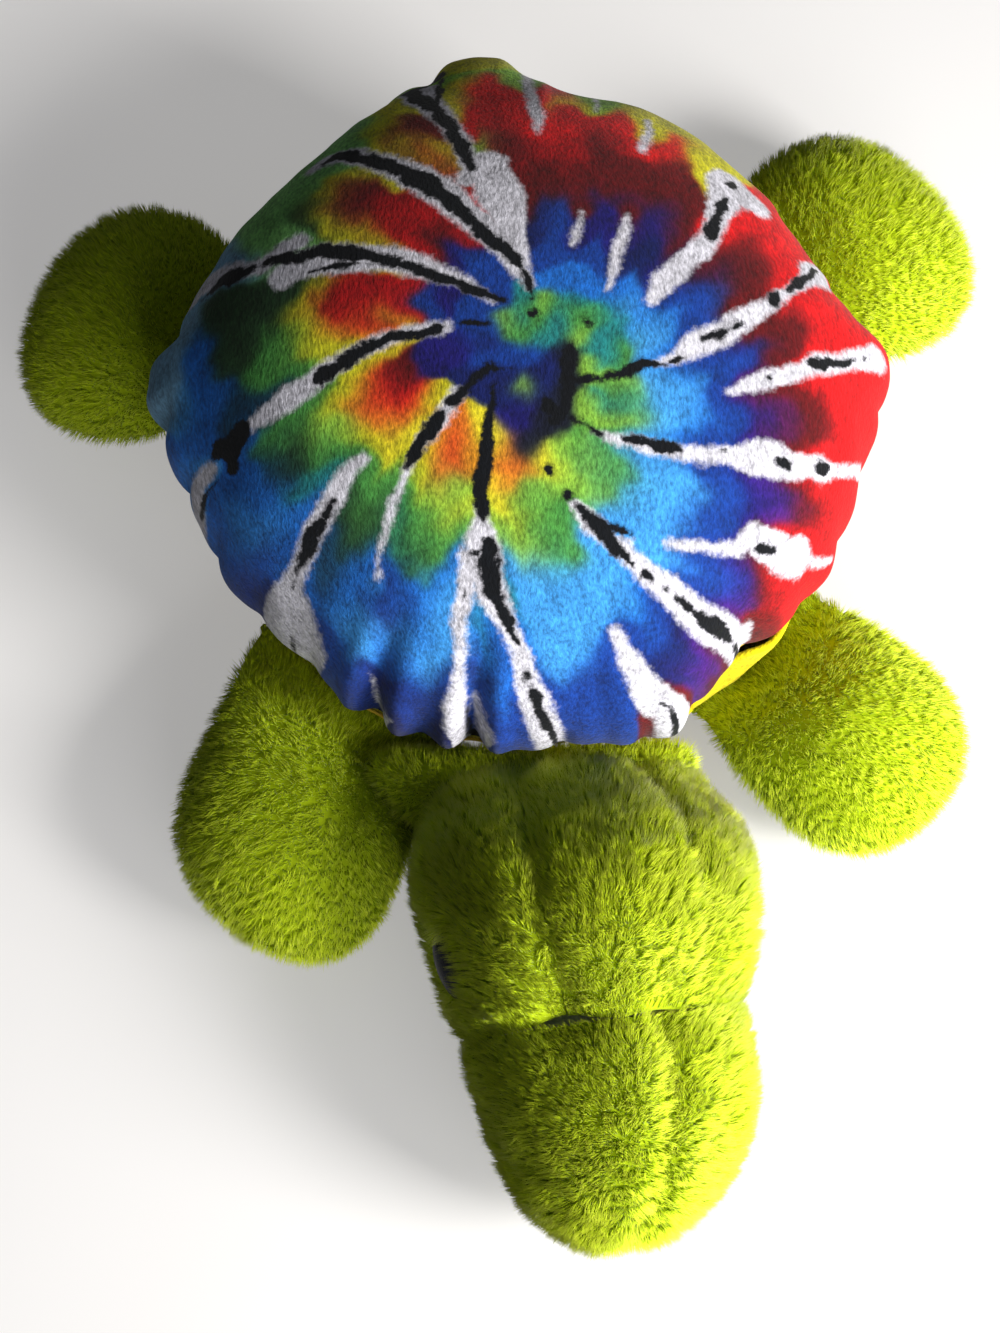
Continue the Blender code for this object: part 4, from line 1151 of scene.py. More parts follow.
pile = {
    "perSquare": 6.4,  # strands to the square mm
    "length": 4.0,
    "lengthSpread": 0.18,
    "spreadSize": 2.2,
    "lengthJitter": 0.12,
    "lengthLimits": (0.5, 1.4),
    "width": 0.26,
    "widthJitter": 0.2,
    "widthLimits": (0.6, 1.5),
    "rooted": 0.25,  # how deep a strand starts in the cloth
    "lean": 34.0,  # degrees from straight up
    "leanLimits": (0.25, 1.25),  # shares of it
    "turned": 0.3,  # how far a strand's flat sides turn up
    "tuftSize": 5.0,
    "tuftPull": 0.62,
    "wispSize": 1.5,
    "wispPull": 0.38,
    "strayPull": 0.22,
    "backing": 1.2,
    "tuftArea": 7.0,  # square mm of cloth to one clump of strands
    "clumping": 0.42,  # how far a strand's tip is drawn to its clump's middle
    "fewestClumps": 4,
    "seamShortening": 0.12,
    "seamReach": 3.0,
    "pressedBelow": 1.2,  # under this height the pile is pressed flat on the table
    "pressedTo": 0.15,
    "tint": 0.5,
    "tintSpread": 0.42,
    "tintSize": 11.0,
    "tintJitter": 0.12,
    "tintLimits": (0.03, 0.97),
    "mapWidth": 0.02,  # of a strand on its map
    "backingTints": (0.1, 0.8),  # where the backing's map starts across, and its width
    "backingShades": (0.06, 0.02),  # how far up it runs for its own depth and height, so the backing takes the roots' painted shade
    "mapMargin": 0.002,
    "seamless": 99.0,  # the distance where no seam is near
    "padding": 0.8,
    "joins": 0.02,  # points closer than this become one
}


def gridNormals(spots, poleNormal):
    normals = unit(np.cross(np.gradient(spots, axis=0), np.gradient(spots, axis=1)))
    middle = spots.reshape(-1, 3).mean(axis=0)
    facing = np.sign(((spots - middle) * normals).sum(axis=2).mean())
    normals = normals * (facing if facing != 0 else 1)
    if poleNormal is not None:
        normals[-1] = poleNormal
    return normals


def lengthAlong(spots, axis):  # along the sheet's rows or its columns, from their first point
    steps = np.linalg.norm(np.diff(spots, axis=axis), axis=2)
    return np.insert(np.cumsum(steps, axis=axis), 0, 0.0, axis=axis)


def sheetFrom(surface, rows, columns, edges, poleNormal=None):
    u, v = np.meshgrid(np.linspace(0, 1, rows + 1), np.linspace(0, 1, columns + 1), indexing="ij")
    spots = surface(u, v)
    normals = gridNormals(spots, poleNormal)
    alongU, alongV = lengthAlong(spots, 0), lengthAlong(spots, 1)
    away = {"start": alongU, "end": alongU[-1:] - alongU, "first": alongV, "last": alongV[:, -1:] - alongV}
    sunk = np.zeros_like(u)
    nearest = np.full_like(u, pile["seamless"])
    for edge, (depthAtStart, depthAtEnd, width) in edges.items():
        depth = depthAtStart + (depthAtEnd - depthAtStart) * (u if edge in ("first", "last") else v)
        sunk += depth * np.exp(-((away[edge] / width) ** 2))
        nearest = np.minimum(nearest, away[edge])
    spots = spots - normals * sunk[..., None]
    return {"spots": spots, "normals": gridNormals(spots, poleNormal), "nearest": nearest}


def backingMesh(sheet, place):
    bm = bmesh.new()
    rows, columns = sheet["spots"].shape[0] - 1, sheet["spots"].shape[1] - 1
    for vertex, i, j in gridOf(bm, rows, columns):
        vertex.co = place(sheet["spots"][i, j][None])[0] * mm
    bmesh.ops.remove_doubles(bm, verts=bm.verts, dist=pile["joins"] * mm)
    bmesh.ops.recalc_face_normals(bm, faces=bm.faces)
    middle = sum((f.calc_center_median() for f in bm.faces), Vector()) / len(bm.faces)
    facing = sum((f.calc_center_median() - middle).dot(f.normal) * f.calc_area() for f in bm.faces)
    if facing < 0:
        bmesh.ops.reverse_faces(bm, faces=bm.faces)
    flat = meshFrom("sheet", bm)
    item = bpy.data.objects.new("sheet", flat)
    bpy.context.scene.collection.objects.link(item)
    wall = item.modifiers.new("wall", "SOLIDIFY")
    wall.thickness = pile["backing"] * mm
    wall.offset = -1.0
    mesh = bpy.data.meshes.new_from_object(item.evaluated_get(bpy.context.evaluated_depsgraph_get()))
    bpy.data.objects.remove(item)
    bpy.data.meshes.remove(flat)
    return mesh


def unitStrand():  # a three-sided cone from the root's ring to the tip
    bm = bmesh.new()
    bmesh.ops.create_cone(bm, cap_ends=True, segments=3, radius1=1.0, radius2=0.0, depth=1.0)
    bmesh.ops.remove_doubles(bm, verts=bm.verts, dist=1e-4)
    bmesh.ops.triangulate(bm, faces=bm.faces)
    bmesh.ops.recalc_face_normals(bm, faces=bm.faces)
    bm.verts.ensure_lookup_table()
    spots = spotsOf(bm)
    faces = np.array([[v.index for v in f.verts] for f in bm.faces])
    bm.free()
    up = spots[:, 2] + 0.5
    atRoot = up < 0.5
    across = unit(spots[:, :2]) * atRoot[:, None]
    return up, across, atRoot, faces


strandUp, strandAcross, strandAtRoot, strandFaces = unitStrand()


def clumpHearts(roots, rng, strandsPerClump):  # the middle of the clump that each strand belongs to
    clumps = max(int(len(roots) / strandsPerClump), pile["fewestClumps"])
    chosen = rng.choice(len(roots), size=clumps, replace=False)
    tree = KDTree(len(chosen))
    for index, root in enumerate(roots[chosen]):
        tree.insert(root, index)
    tree.balance()
    nearest = [tree.find(root)[1] for root in roots]
    return roots[chosen][nearest]


def sowRoots(sheet, rng, perSquare):  # where strands stand, the way up there and how near the next seam is
    spots = sheet["spots"]
    columns = spots.shape[1] - 1
    corner = spots[:-1, :-1]
    area = np.linalg.norm(np.cross(spots[1:, :-1] - corner, spots[:-1, 1:] - corner), axis=2).ravel()
    count = int(area.sum() * perSquare)
    cell = rng.choice(len(area), size=count, p=area / area.sum())
    i, j = cell // columns, cell % columns
    a, b = rng.random((count, 1)), rng.random((count, 1))

    def sample(grid):
        low = grid[i, j] * (1 - a) + grid[i + 1, j] * a
        high = grid[i, j + 1] * (1 - a) + grid[i + 1, j + 1] * a
        return low * (1 - b) + high * b

    return sample(spots), unit(sample(sheet["normals"])), sample(sheet["nearest"][..., None])[:, 0]


def flatOn(up, ways):  # the part of each way that lies along the cloth
    return ways - (ways * up).sum(axis=1, keepdims=True) * up


def jitter(rng, count, share, limits):
    return (1 + share * rng.standard_normal(count)).clip(*limits)


def growPile(mesh, sheet, place, comb, seed, settings=None, keep=None, bend=None):
    look = {**pile, **(settings or {})}
    rng = np.random.default_rng(seed)
    roots, up, nearest = sowRoots(sheet, rng, look["perSquare"])
    lie, shorten = comb(roots), np.ones(len(roots))
    if bend is not None:
        lie, shorten = bend(roots, lie, shorten)
    if keep is not None:
        kept = keep(roots)
        roots, up, nearest, lie, shorten = (x[kept] for x in (roots, up, nearest, lie, shorten))
    count = len(roots)
    lie = lie + look["tuftPull"] * noiseVector(roots, look["tuftSize"], seed + 1)
    lie = lie + look["wispPull"] * noiseVector(roots, look["wispSize"], seed + 4)
    lie = flatOn(up, lie + look["strayPull"] * rng.standard_normal((count, 3)))
    strength = np.clip(np.linalg.norm(lie, axis=1), *look["leanLimits"])[:, None]
    lie = unit(lie)

    length = look["length"] * (1 + look["lengthSpread"] * softNoise(roots, look["spreadSize"], seed + 9))
    length = length * jitter(rng, count, look["lengthJitter"], look["lengthLimits"]) * shorten
    length = length * (1 - look["seamShortening"] * np.exp(-((nearest / look["seamReach"]) ** 2)))
    half = look["width"] / 2 * jitter(rng, count, look["widthJitter"], look["widthLimits"])

    tilt = radians(look["lean"])
    way = unit(up * cos(tilt) + lie * sin(tilt) * strength)
    side = unit(np.cross(way, lie + look["turned"] * up))
    over = np.cross(side, way)
    foot = roots - up * look["rooted"]
    heart = clumpHearts(roots, rng, look["tuftArea"] * look["perSquare"])
    pull = flatOn(up, (heart - foot) * look["clumping"])
    way = unit(way * length[:, None] + pull)
    centre = foot[:, None] + way[:, None] * (length[:, None] * strandUp)[..., None]
    spread = side[:, None] * strandAcross[None, :, :1] + over[:, None] * strandAcross[None, :, 1:]
    hairs = place((centre + spread * half[:, None, None]).reshape(-1, 3))
    low = hairs[:, 2] < look["pressedBelow"]
    room = look["pressedBelow"] - look["pressedTo"]
    hairs[low, 2] = look["pressedTo"] + room * np.exp((hairs[low, 2] - look["pressedBelow"]) / room)

    tint = look["tint"] + look["tintSpread"] * softNoise(roots, look["tintSize"], seed + 12)
    tint = np.clip(tint + look["tintJitter"] * rng.standard_normal(count), *look["tintLimits"])
    across = tint[:, None] + look["mapWidth"] * strandAcross[None, :, 1]
    # up each strand, from the root's painted shade to the lighter tip
    shade = strandUp + look["mapWidth"] * (strandAcross[:, 0] + 0.5) * strandAtRoot
    return joinHairs(mesh, hairs * mm, across.ravel(), np.tile(shade, count), count)


def readMesh(data, name, size, kind):
    values = np.empty(size, kind)
    data.foreach_get(name, values)
    return values


def joinHairs(mesh, hairs, across, shade, count):
    base, loops = len(mesh.vertices), len(mesh.loops)
    oldSpots = readMesh(mesh.vertices, "co", base * 3, float)
    oldLoops = readMesh(mesh.loops, "vertex_index", loops, np.int32)
    oldStarts = readMesh(mesh.polygons, "loop_start", len(mesh.polygons), np.int32)
    extra = (strandFaces[None] + np.arange(count)[:, None, None] * len(strandUp)).ravel()

    joined = bpy.data.meshes.new(mesh.name)
    joined.vertices.add(base + len(hairs))
    joined.vertices.foreach_set("co", np.concatenate((oldSpots, hairs.ravel())))
    joined.loops.add(loops + len(extra))
    joined.loops.foreach_set("vertex_index", np.concatenate((oldLoops, extra + base)).astype(np.int32))
    joined.polygons.add(len(oldStarts) + len(extra) // 3)
    starts = np.concatenate((oldStarts, loops + 3 * np.arange(len(extra) // 3)))
    joined.polygons.foreach_set("loop_start", starts.astype(np.int32))
    joined.update(calc_edges=True)

    # The backing's map lies lowest, where a strand's root is, so the backing takes the painted shade of the
    # roots
    places = oldSpots.reshape(-1, 3)
    low, high = places.min(axis=0), places.max(axis=0)
    x, y, z = ((places - low) / np.maximum(high - low, 1e-9)).T
    (left, wide), (deep, tall), margin = pile["backingTints"], pile["backingShades"], pile["mapMargin"]
    baseMap = np.stack((left + wide * x, deep * y + tall * z), axis=1)[oldLoops]
    hairMap = np.stack((across, shade), axis=1)[extra]
    layer = joined.uv_layers.new(name="OFBake")
    layer.data.foreach_set("uv", np.concatenate((baseMap, hairMap)).clip(margin, 1 - margin).ravel())
    joined.validate()
    bpy.data.meshes.remove(mesh)
    return joined


def plushPiece(name, body, nodes, sheet, place, comb, seed, **rest):
    mesh = growPile(backingMesh(sheet, place), sheet, place, comb, seed, **rest)
    mesh.name = name
    item = finishPiece(name, mesh, greenPlush)
    dress(item, body, nodes)
    print(name, "has", len(mesh.polygons), "faces")


# Head, in its own frame: the nose points to -Y and the pivot is the neck's middle

head = {
    "place": (0.0, -98.912, 28.0),
    "roll": 12.0,
    "yaw": 0.6,
    "length": 112.0,
    "width": 81.5,
    "height": 66.5,
    "craniumLength": 62.0,
    "muzzleWidth": 61.8,
    "muzzleHeight": 55.0,
    "back": 7.0,
    "centreRise": 8.5,
    "muzzleShift": 2.2,
    "crownWidth": 38.5,
    "sidePanelEnd": 128.0,
    "muzzleSeamTurn": 13.0,  # degrees by which the muzzle's top seam starts to one side
    "muzzleSeamBend": 1.5,  # more than 1 bends it back early
    "crossEven": 0.9,  # beside the cross seam the pile turns this far to stand straight out from the head
    "crossReach": 8.0,
    "craniumRows": 76,
    "muzzleRows": 70,
    "muzzleColumns": 96,
    "combDown": 0.15,
    "combOut": 0.25,
}

# Shares of the length, of half the width, of the rise and the drop, and of the centre's rise
craniumShares = (
    (-0.050, 0.38, 0.22, 0.34, 0.02), (-0.030, 0.55, 0.33, 0.48, 0.05), (0.00, 0.70, 0.44, 0.62, 0.10),
    (0.14, 0.86, 0.66, 0.82, 0.45), (0.32, 0.98, 0.90, 0.95, 0.80), (0.52, 1.00, 1.00, 1.00, 1.00),
    (0.72, 0.965, 0.985, 0.97, 1.00), (0.88, 0.885, 0.915, 0.90, 0.85), (1.00, 0.810, 0.83, 0.84, 0.70),
)
muzzleShares = (
    (0.00, 1.068, 1.004, 1.016, 1.00), (0.20, 1.05, 1.02, 1.01, 0.90), (0.46, 0.98, 0.98, 0.96, 0.62),
    (0.70, 0.825, 0.81, 0.80, 0.36), (0.87, 0.580, 0.56, 0.56, 0.18), (0.965, 0.310, 0.30, 0.30, 0.06),
    (1.00, 0.00, 0.00, 0.00, 0.00),
)

# Each seam's depth at its two ends and its width
headSeams = {
    "left": (1.6, 1.0, 3.0),
    "right": (2.4, 0.9, 3.8),
    "low": (1.2, 1.2, 3.0),
    "crownFront": (0.4, 0.1, 2.4),
    "leftFront": (0.1, 0.3, 2.4),
    "rightFront": (0.8, 0.8, 2.6),
    "chinFront": (1.0, 1.0, 3.0),
    "muzzleRight": (0.5, 0.8, 2.6),
    "muzzleTop": (2.6, 0.5, 3.6),
    "muzzleLow": (1.0, 0.4, 3.0),
}

# Share of the cranium's length, angle from its top in degrees, depth and width of each hollow in the seams
hollows = ((1.0, -28, 3.4, 8.0), (1.0, 11, 1.8, 6.0), (0.86, -28, 1.2, 6.0))

headYaw = Matrix.Rotation(radians(head["yaw"]), 3, "Z")
headTurn = np.array(headYaw @ Matrix.Rotation(radians(head["roll"]), 3, "Y"))


def placeHead(points):
    return points @ headTurn.T + np.array(head["place"])


def sectionPoint(distance, halfWidth, rise, drop, centre, shift, angle):
    height = np.where(np.cos(angle) >= 0, rise, drop)
    return np.stack((shift + halfWidth * np.sin(angle), -distance, centre + height * np.cos(angle)), axis=-1)


def craniumPoint(share, angle):
    table = np.array(craniumShares)
    wide, high, low, lift = (curveThrough(table[:, 0], table[:, k], share) for k in range(1, 5))
    return sectionPoint(-head["back"] + head["craniumLength"] * share, head["width"] / 2 * wide,
                        head["height"] / 2 * high, head["height"] / 2 * low,
                        head["centreRise"] * lift, 0.0, angle)


def muzzlePoint(turn, angle):  # the turn runs from 0 at the cross seam to pi / 2 at the nose
    table = np.array(muzzleShares)
    wide, high, low, rise = (curveThrough(np.arcsin(table[:, 0]), table[:, k], turn) for k in range(1, 5))
    share = np.sin(turn)
    length = head["length"] - head["craniumLength"]
    lift = head["centreRise"] * craniumShares[-1][-1]
    centre = lift * rise - (head["centreRise"] - lift) * (1 - rise)
    wide, high, low = (x.clip(0) for x in (wide, high, low))
    return sectionPoint(head["craniumLength"] - head["back"] + length * share, head["muzzleWidth"] / 2 * wide,
                        head["muzzleHeight"] / 2 * high, head["muzzleHeight"] / 2 * low, centre,
                        head["muzzleShift"] * np.sin(pi * share), angle)


eye = {
    "distance": 37.5,
    "angle": 84.0,
    "width": 17.5,
    "sunk": 4.2,  # how deep the cloth dips round the eye
    "dipWidth": 10.5,
    "rounds": 64,
    "rings": 32,
    "dome": 2.6,
    "rim": 0.8,
    "rimSlope": 3.0,
    "backShare": 0.33,  # of the ball's half height, past which it closes into a flat back
    "clear": 0.3,
    "seatStep": 0.01,  # share of the cranium and turn over which its slope is taken
    "pileClear": 0.2,
    "lashReach": 4.0,
    "lashFrom": -1.0,  # heights over the eye's middle between which the pile begins to hang over it
    "lashTo": 4.0,
    "lieBelow": 1.2,  # how strongly the pile opens below the eye and hangs over it from above
    "lieAbove": 2.2,
    "shorterBelow": 0.3,
    "longerAbove": 0.35,
}


def eyeSeat(side):  # the eye's middle on the plain head and the way it faces
    share = (eye["distance"] + head["back"]) / head["craniumLength"]
    angle = side * radians(eye["angle"])
    step = eye["seatStep"]
    middle = craniumPoint(share, angle)
    along = craniumPoint(share + step, angle) - craniumPoint(share - step, angle)
    around = craniumPoint(share, angle + step) - craniumPoint(share, angle - step)
    normal = unit(np.cross(around, along))
    return middle, normal if normal[0] * side > 0 else -normal


def dip(sheet, middle, ways, depth, width):  # a round hollow in a sheet, pushed in against these ways
    away = np.linalg.norm(sheet["spots"] - middle, axis=2)
    sheet["spots"] = sheet["spots"] - ways * (depth * np.exp(-((away / width) ** 2)))[..., None]


def dipHollows(sheet):
    for share, angle, depth, width in hollows:
        middle = craniumPoint(np.array(share), np.array(radians(angle)))
        dip(sheet, middle, sheet["normals"], depth, width)


def dipRoundEyes(sheet):
    for side in (1, -1):
        middle, normal = eyeSeat(side)
        dip(sheet, middle, normal, eye["sunk"], eye["dipWidth"])


def evenCross(sheet):  # the pile stands the same way on both sides of the cross seam, so it closes over it
    fromSeam = sheet["spots"][..., 1] - head["back"] + head["craniumLength"]
    share = (head["crossEven"] * np.exp(-((fromSeam / head["crossReach"]) ** 2)))[..., None]
    middle = np.array((0.0, 0.0, head["centreRise"] * craniumShares[-1][-1]))
    outward = unit((sheet["spots"] - middle) * (1, 0, 1))
    sheet["normals"] = unit(sheet["normals"] * (1 - share) + outward * share)


def clearOfEyes(roots):
    kept = np.ones(len(roots), bool)
    for side in (1, -1):
        kept &= np.linalg.norm(roots - eyeSeat(side)[0], axis=1) > eye["width"] / 2 + eye["pileClear"]
    return kept


def partRoundEyes(roots, lie, shorten):  # the pile hangs over the eye from above and opens below it
    for side in (1, -1):
        middle = eyeSeat(side)[0]
        away = np.linalg.norm(roots - middle, axis=1)
        share = np.exp(-((away - eye["width"] / 2).clip(0) / eye["lashReach"]) ** 2)
        above = ease(eye["lashFrom"], eye["lashTo"], roots[:, 2] - middle[2])
        outwards = eye["lieBelow"] - (eye["lieBelow"] + eye["lieAbove"]) * above
        lie = lie + outwards[:, None] * share[:, None] * unit(roots - middle)
        shorten = shorten * (1 - eye["shorterBelow"] * share * (1 - above))
        shorten = shorten * (1 + eye["longerAbove"] * share * above)
    return lie, shorten


def combHead(roots):
    lie = np.tile(np.array((0.0, 1.0, -head["combDown"])), (len(roots), 1))
    lie[:, 0] = head["combOut"] * np.sign(roots[:, 0])
    return lie


def makeCranium():
    crown = np.degrees(asin(head["crownWidth"] / head["width"]))
    side = head["sidePanelEnd"]
    start = craniumShares[0][0]
    # Name, node, angles at which the panel begins and ends, columns, and its two long seams and its front one
    panels = (
        ("crownPanel", "head_crown_panel", -crown, crown, 64, ("right", "left", "crownFront")),
        ("sidePanelLeft", "head_side_left", crown, side, 84, ("left", "low", "leftFront")),
        ("sidePanelRight", "head_side_right", -side, -crown, 84, ("low", "right", "rightFront")),
        ("chinPanel", "chin_panel", side, 360 - side, 72, ("low", "low", "chinFront")),
    )
    for seed, (name, node, first, last, columns, seams) in enumerate(panels):
        def surface(u, v, first=first, last=last):
            return craniumPoint(start + (1 - start) * u, np.radians(first + (last - first) * v))
        edges = {edge: headSeams[seam] for edge, seam in zip(("first", "last", "end"), seams)}
        sheet = sheetFrom(surface, head["craniumRows"], columns, edges)
        dipRoundEyes(sheet)
        dipHollows(sheet)
        evenCross(sheet)
        plushPiece(name, "head", [node], sheet, placeHead, combHead, 100 + 20 * seed,
                   keep=clearOfEyes, bend=partRoundEyes)


def makeMuzzle():
    halves = (("muzzleLeft", "muzzle_left", 1, "leftFront"),
              ("muzzleRight", "muzzle_right", -1, "muzzleRight"))
    for seed, (name, node, way, cross) in enumerate(halves):
        def surface(u, v, way=way):
            seam = radians(head["muzzleSeamTurn"]) * (1 - u) ** head["muzzleSeamBend"]
            return muzzlePoint(u * pi / 2, way * (pi * v + way * seam * (1 - v)))
        edges = {edge: headSeams[seam] for edge, seam in
                 (("start", cross), ("first", "muzzleTop"), ("last", "muzzleLow"))}
        sheet = sheetFrom(surface, head["muzzleRows"], head["muzzleColumns"], edges,
                          poleNormal=np.array((0.0, -1.0, 0.0)))
        dipHollows(sheet)
        evenCross(sheet)
        plushPiece(name, "head", [node], sheet, placeHead, combHead, 200 + 20 * seed)


headFilling = {
    "rounds": 72,
    "rings": 48,
    "craniumShare": 0.55,  # of the rings
    "inside": 8.0,
    "middle": -48.0,  # along the head, and the filling is drawn in towards it
    "closes": 0.12,  # share of the rings over which it closes at the neck
    "closeHeight": 2.0,
}


def makeHeadFilling():
    bm = bmesh.new()
    rounds, rings = headFilling["rounds"], headFilling["rings"]
    bmesh.ops.create_uvsphere(bm, u_segments=rounds, v_segments=rings, radius=1.0)
    spots = spotsOf(bm)
    along = np.arccos(np.clip(spots[:, 2], -1, 1)) / pi
    angle = np.arctan2(spots[:, 0], spots[:, 1])
    split, inside = headFilling["craniumShare"], headFilling["inside"]
    cranium = craniumPoint(np.clip(along / split, 0, 1), angle)
    muzzle = muzzlePoint(np.clip((along - split) / (1 - split), 0, 1) * pi / 2, angle)
    placed = np.where((along < split)[:, None], cranium, muzzle)
    middle = np.array((0.0, headFilling["middle"], head["centreRise"] / 2))
    placed = placed + unit(middle - placed) * inside
    closed = np.array((0.0, head["back"] - inside, headFilling["closeHeight"]))
    placed = placed + (closed - placed) * (1 - ease(0.0, headFilling["closes"], along))[:, None]
    putSpots(bm, placeHead(placed) * mm)
    bmesh.ops.recalc_face_normals(bm, faces=bm.faces)
    item = finishPiece("headFilling", meshFrom("headFilling", bm), polyesterFilling)
    dress(item, "head", ["head_stuffing"])


def makeEye(name, side, node):
    middle, normal = eyeSeat(side)
    middle = middle - normal * (eye["sunk"] - eye["clear"])
    bm = bmesh.new()
    bmesh.ops.create_uvsphere(bm, u_segments=eye["rounds"], v_segments=eye["rings"], radius=1.0)
    half, back = eye["width"] / 2, eye["backShare"]
    turn = Vector(normal).to_track_quat("Z", "Y").to_matrix()
    for vertex in bm.verts:
        x, y, z = vertex.co
        if z > 0:
            spot = Vector((half * x, half * y, eye["rim"] + eye["dome"] * z))
        elif z > -back:
            spot = Vector((half * x, half * y, eye["rim"] * (1 + eye["rimSlope"] * z)))
        else:
            spot = Vector((x, y, 0.0)).normalized() * half * (1 + z) / (1 - back)
        vertex.co = turn @ spot + Vector(middle)
    bmesh.ops.recalc_face_normals(bm, faces=bm.faces)
    putSpots(bm, placeHead(spotsOf(bm)) * mm)
    item = finishPiece(name, meshFrom(name, bm), eyePlastic)
    dress(item, "head", [node])


makeCranium()
makeMuzzle()
makeHeadFilling()
makeEye("eyeLeft", 1, "eye_left")
makeEye("eyeRight", -1, "eye_right")
print("head made")


# Neck: a short furry roll between the belly and the head

neck = {
    "place": (-7.0, -97.5, 29.0),
    "halfSize": (40.0, 13.5, 14.0),
    "bend": 80.0,  # radius of the curve that it follows round the body
    "stays": (0.0, -82.0, 29.0),  # a point given for staying with the body, which dress does not use
    "turns": (0.0, -101.0, 29.0),  # a point given for turning with the head, which dress does not use
    "comb": (0.0, 0.3, -0.4),
    "rows": 36,
    "columns": 72,
    "pile": {"length": 3.6, "perSquare": 2.6},
}


def makeNeck():
    def surface(u, v):
        around, down = 2 * pi * v, pi * u
        x = neck["halfSize"][0] * np.sin(down) * np.sin(around)
        y = neck["halfSize"][1] * np.sin(down) * np.cos(around)
        y = y + (x + neck["place"][0]) ** 2 / (2 * neck["bend"])
        z = neck["halfSize"][2] * np.cos(down)
        return np.stack((x, y, z), axis=-1)

    def placeNeck(points):
        return points + np.array(neck["place"])

    def combNeck(roots):
        return np.tile(np.array(neck["comb"]), (len(roots), 1))

    sheet = sheetFrom(surface, neck["rows"], neck["columns"], {}, poleNormal=np.array((0.0, 0.0, -1.0)))
    sheet["normals"][0] = (0.0, 0.0, 1.0)
    bending = ("body", "neck", *(tuple(mm * value for value in neck[end]) for end in ("stays", "turns")))
    plushPiece("neckRoll", bending, ["neck_cover"], sheet, placeNeck, combNeck, 300, settings=neck["pile"])


makeNeck()
print("neck made")


# Legs, each in its own frame: +X runs out from the hinge and Z is up

legs = {
    "thickness": 37.0,
    "hingeHeight": 19.1,
    "rootRadius": 4.2,
    "rootShare": 0.08,  # of the rows, round the hinge
    "swellRowsShare": 0.45,
    "swellShare": 0.50,
    "tipFullness": 2.35,
    "wallFitShare": 0.60,
    "wallRadius": 83.62,
    "seam": (0.5, 0.5, 2.4),  # its depth at the root and at the tip, and its width
    "seamOverlap": 0.15,  # how far the top and the sole reach past each other
    "rows": 72,
    "columns": 72,
    "leansTo": 1.0,  # up to here from the root the pile leans back on the belly
    "outwardsFrom": 7.0,
    "fanning": 0.012,  # how much the pile turns aside for each mm from the leg's middle
    "pile": {"length": 3.5, "tuftPull": 0.6, "wispPull": 0.3},
    "topDensity": 2.8,
    "soleDensity": 1.6,
}

# Name, node, hinge, bearing of the root, lean aside, length, width, and the root's width and reach inwards
legRows = (
    ("frontLeft", "front_left", (58.463, -66.08), -50.0, -1.5, 55.0, 54.0, 46.0, 5.6),
    ("frontRight", "front_right", (-55.525, -68.567), -129.0, 10.5, 57.0, 60.0, 62.0, 9.5),
    ("backLeft", "back_left", (78.261, 40.74), 27.5, -5.0, 49.0, 67.0, 46.0, 5.6),
    ("backRight", "back_right", (-77.902, 41.421), 152.0, 5.0, 49.0, 67.0, 46.0, 5.6),
)


def legPoint(u, angle, lean, length, width, rootWidth, rootReach):
    root, swell = legs["rootShare"], legs["swellRowsShare"]
    swellEnd = length * legs["swellShare"]
    hinge = np.clip(u / root, 0, 1) * pi / 2
    grown = np.clip((u - root) / (swell - root), 0, 1)
    rise = np.sin(pi / 2 * grown)
    turn = np.clip((u - swell) / (1 - swell), 0, 1) * pi / 2
    power = 2 / legs["tipFullness"]
    across, along = np.cos(turn).clip(0) ** power, np.sin(turn).clip(0) ** power
    x = np.where(u < root, -rootReach * np.cos(hinge), swellEnd * grown + (length - swellEnd) * along)
    y = (rootWidth + (width - rootWidth) * rise) / 2 * across * np.cos(angle)
    thick = (legs["rootRadius"] + (legs["thickness"] / 2 - legs["rootRadius"]) * rise) * across
    thick = np.where(u < root, legs["rootRadius"] * np.sin(hinge), thick)
    fade = np.clip(1 - x / swellEnd, 0, 1)
    sag = legs["wallRadius"] - np.sqrt(legs["wallRadius"] ** 2 - y ** 2)
    return np.stack((x - legs["wallFitShare"] * sag * fade, y + np.maximum(x, 0) * tan(radians(lean)),
                     thick * np.sin(angle)), axis=-1)


def combLeg(roots):
    lie = np.tile(np.array((1.0, 0.0, 0.0)), (len(roots), 1))
    lie[:, 0] -= 2 * ease(legs["outwardsFrom"], legs["leansTo"], roots[:, 0])
    lie[:, 1] += legs["fanning"] * roots[:, 1]
    return lie


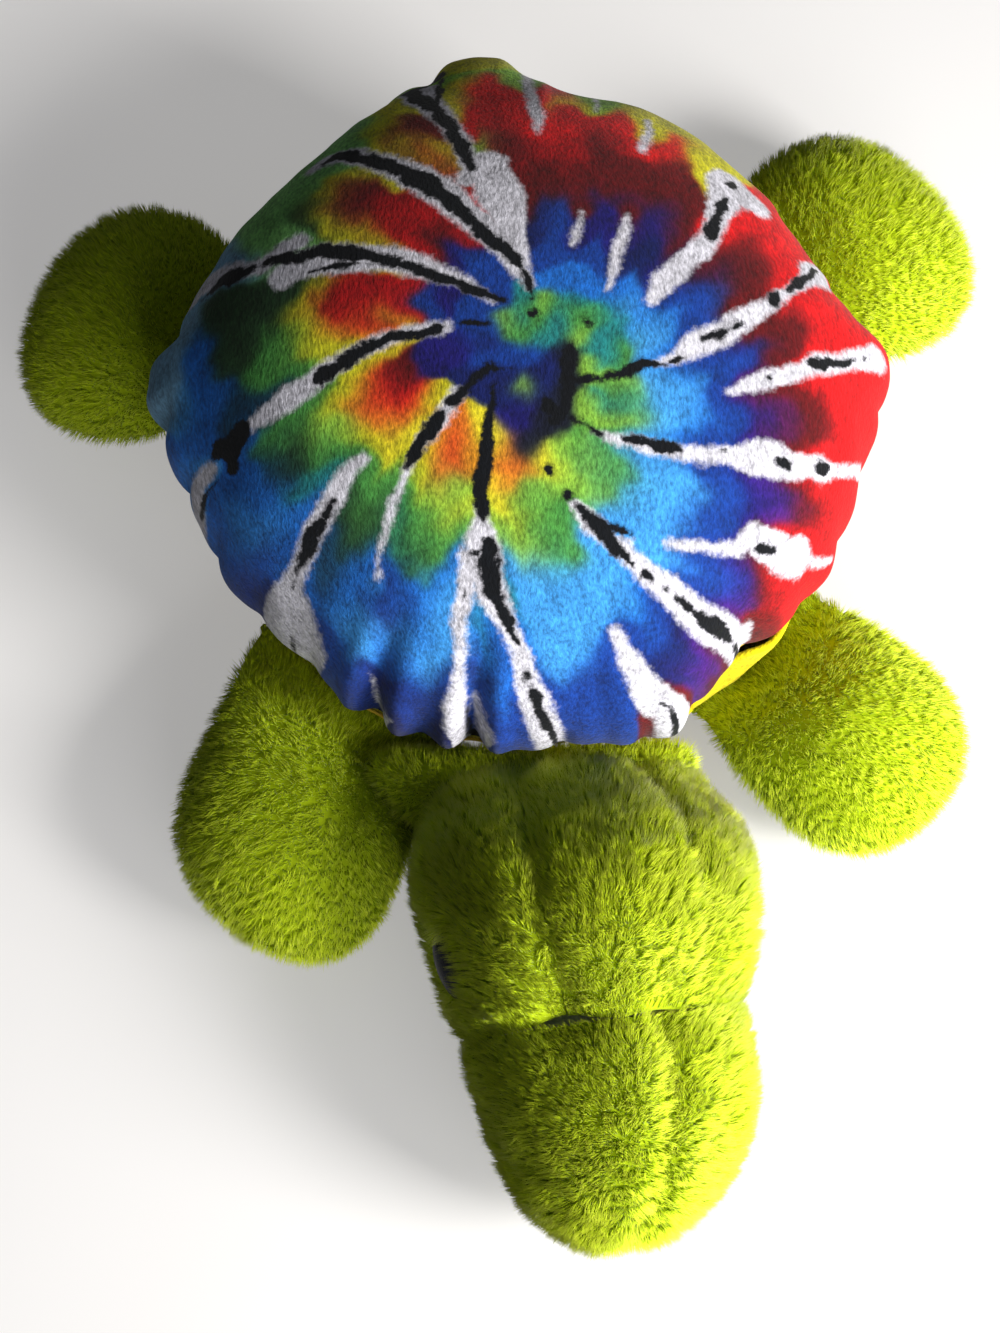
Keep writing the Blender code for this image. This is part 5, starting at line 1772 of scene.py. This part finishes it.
def makeLegs():
    for seed, (name, node, hinge, bearing, *shape) in enumerate(legRows):
        turn = np.array(Matrix.Rotation(radians(bearing), 3, "Z"))
        corner = np.array((*hinge, legs["hingeHeight"]))

        def place(points, turn=turn, corner=corner):
            return points @ turn.T + corner

        for half, (way, side) in enumerate(((1, "top"), (-1, "sole"))):
            def surface(u, v, way=way, shape=shape):
                return legPoint(u, way * pi * v, *shape)
            edges = {"first": legs["seam"], "last": legs["seam"]}
            sheet = sheetFrom(surface, legs["rows"], legs["columns"], edges,
                              poleNormal=np.array((1.0, 0.0, 0.0)))
            sheet["spots"][..., 2] -= way * legs["seamOverlap"]
            settings = {**legs["pile"], "perSquare": legs[side + "Density"]}
            plushPiece(name + side.capitalize(), node + "_leg", [node + "_leg_" + side], sheet, place,
                       combLeg, 400 + 20 * seed + 10 * half, settings=settings)


makeLegs()
print("legs made")


# Finishes of the solids that stay as they are, all of them inside the covers

def dressKept():
    kept = {"stuffing": polyesterFilling, "washer": washerPlastic}
    for item in bpy.data.objects:
        for word, material in kept.items():
            if word in item.name and item.type == "MESH":
                item.data.materials.clear()
                item.data.materials.append(material)


dressKept()


# Floor

floor = {
    "half": 1.6,
    "squares": 8,
    "scale": 6.0,
    "detail": 2.0,
    "distortion": 0.0,
    "dark": fromScreen(250, 248, 246),
    "darkAt": 0.3,
    "light": fromScreen(246, 244, 243),
    "lightAt": 0.7,
    "bounce": fromScreen(150, 148, 145),  # what the floor gives back to the object
    "glow": 0.38,  # share of its own white that the camera sees, so that its shadows stay pale
    "roughness": 0.8,
    "drop": 0.0002,
}


def makeFloor():
    bm = bmesh.new()
    bmesh.ops.create_grid(bm, x_segments=floor["squares"], y_segments=floor["squares"], size=floor["half"])
    for vertex in bm.verts:
        vertex.co.z = -floor["drop"]
    material, tree, shader = newMaterial("tableTop")
    shown = mottle(tree, floor)[1]
    path = addNode(tree, "ShaderNodeLightPath").outputs
    mirrored = mathNode(tree, "MAXIMUM", path["Is Glossy Ray"], path["Is Transmission Ray"])
    seen = mathNode(tree, "MAXIMUM", path["Is Camera Ray"], mirrored)
    feedAll(tree, shader, {"Base Color": mixColour(tree, seen, floor["bounce"], shown),
                           "Roughness": floor["roughness"]})
    glow = addNode(tree, "ShaderNodeEmission", None, {"Color": shown, "Strength": 1.0})
    share = mathNode(tree, "MULTIPLY", seen, floor["glow"])
    both = addNode(tree, "ShaderNodeMixShader", None, {"Fac": share})
    tree.links.new(shader.outputs["BSDF"], both.inputs[1])
    tree.links.new(glow.outputs["Emission"], both.inputs[2])
    tree.links.new(both.outputs["Shader"], tree.nodes["Material Output"].inputs["Surface"])
    item = finishPiece("table", meshFrom("table", bm), material)


makeFloor()
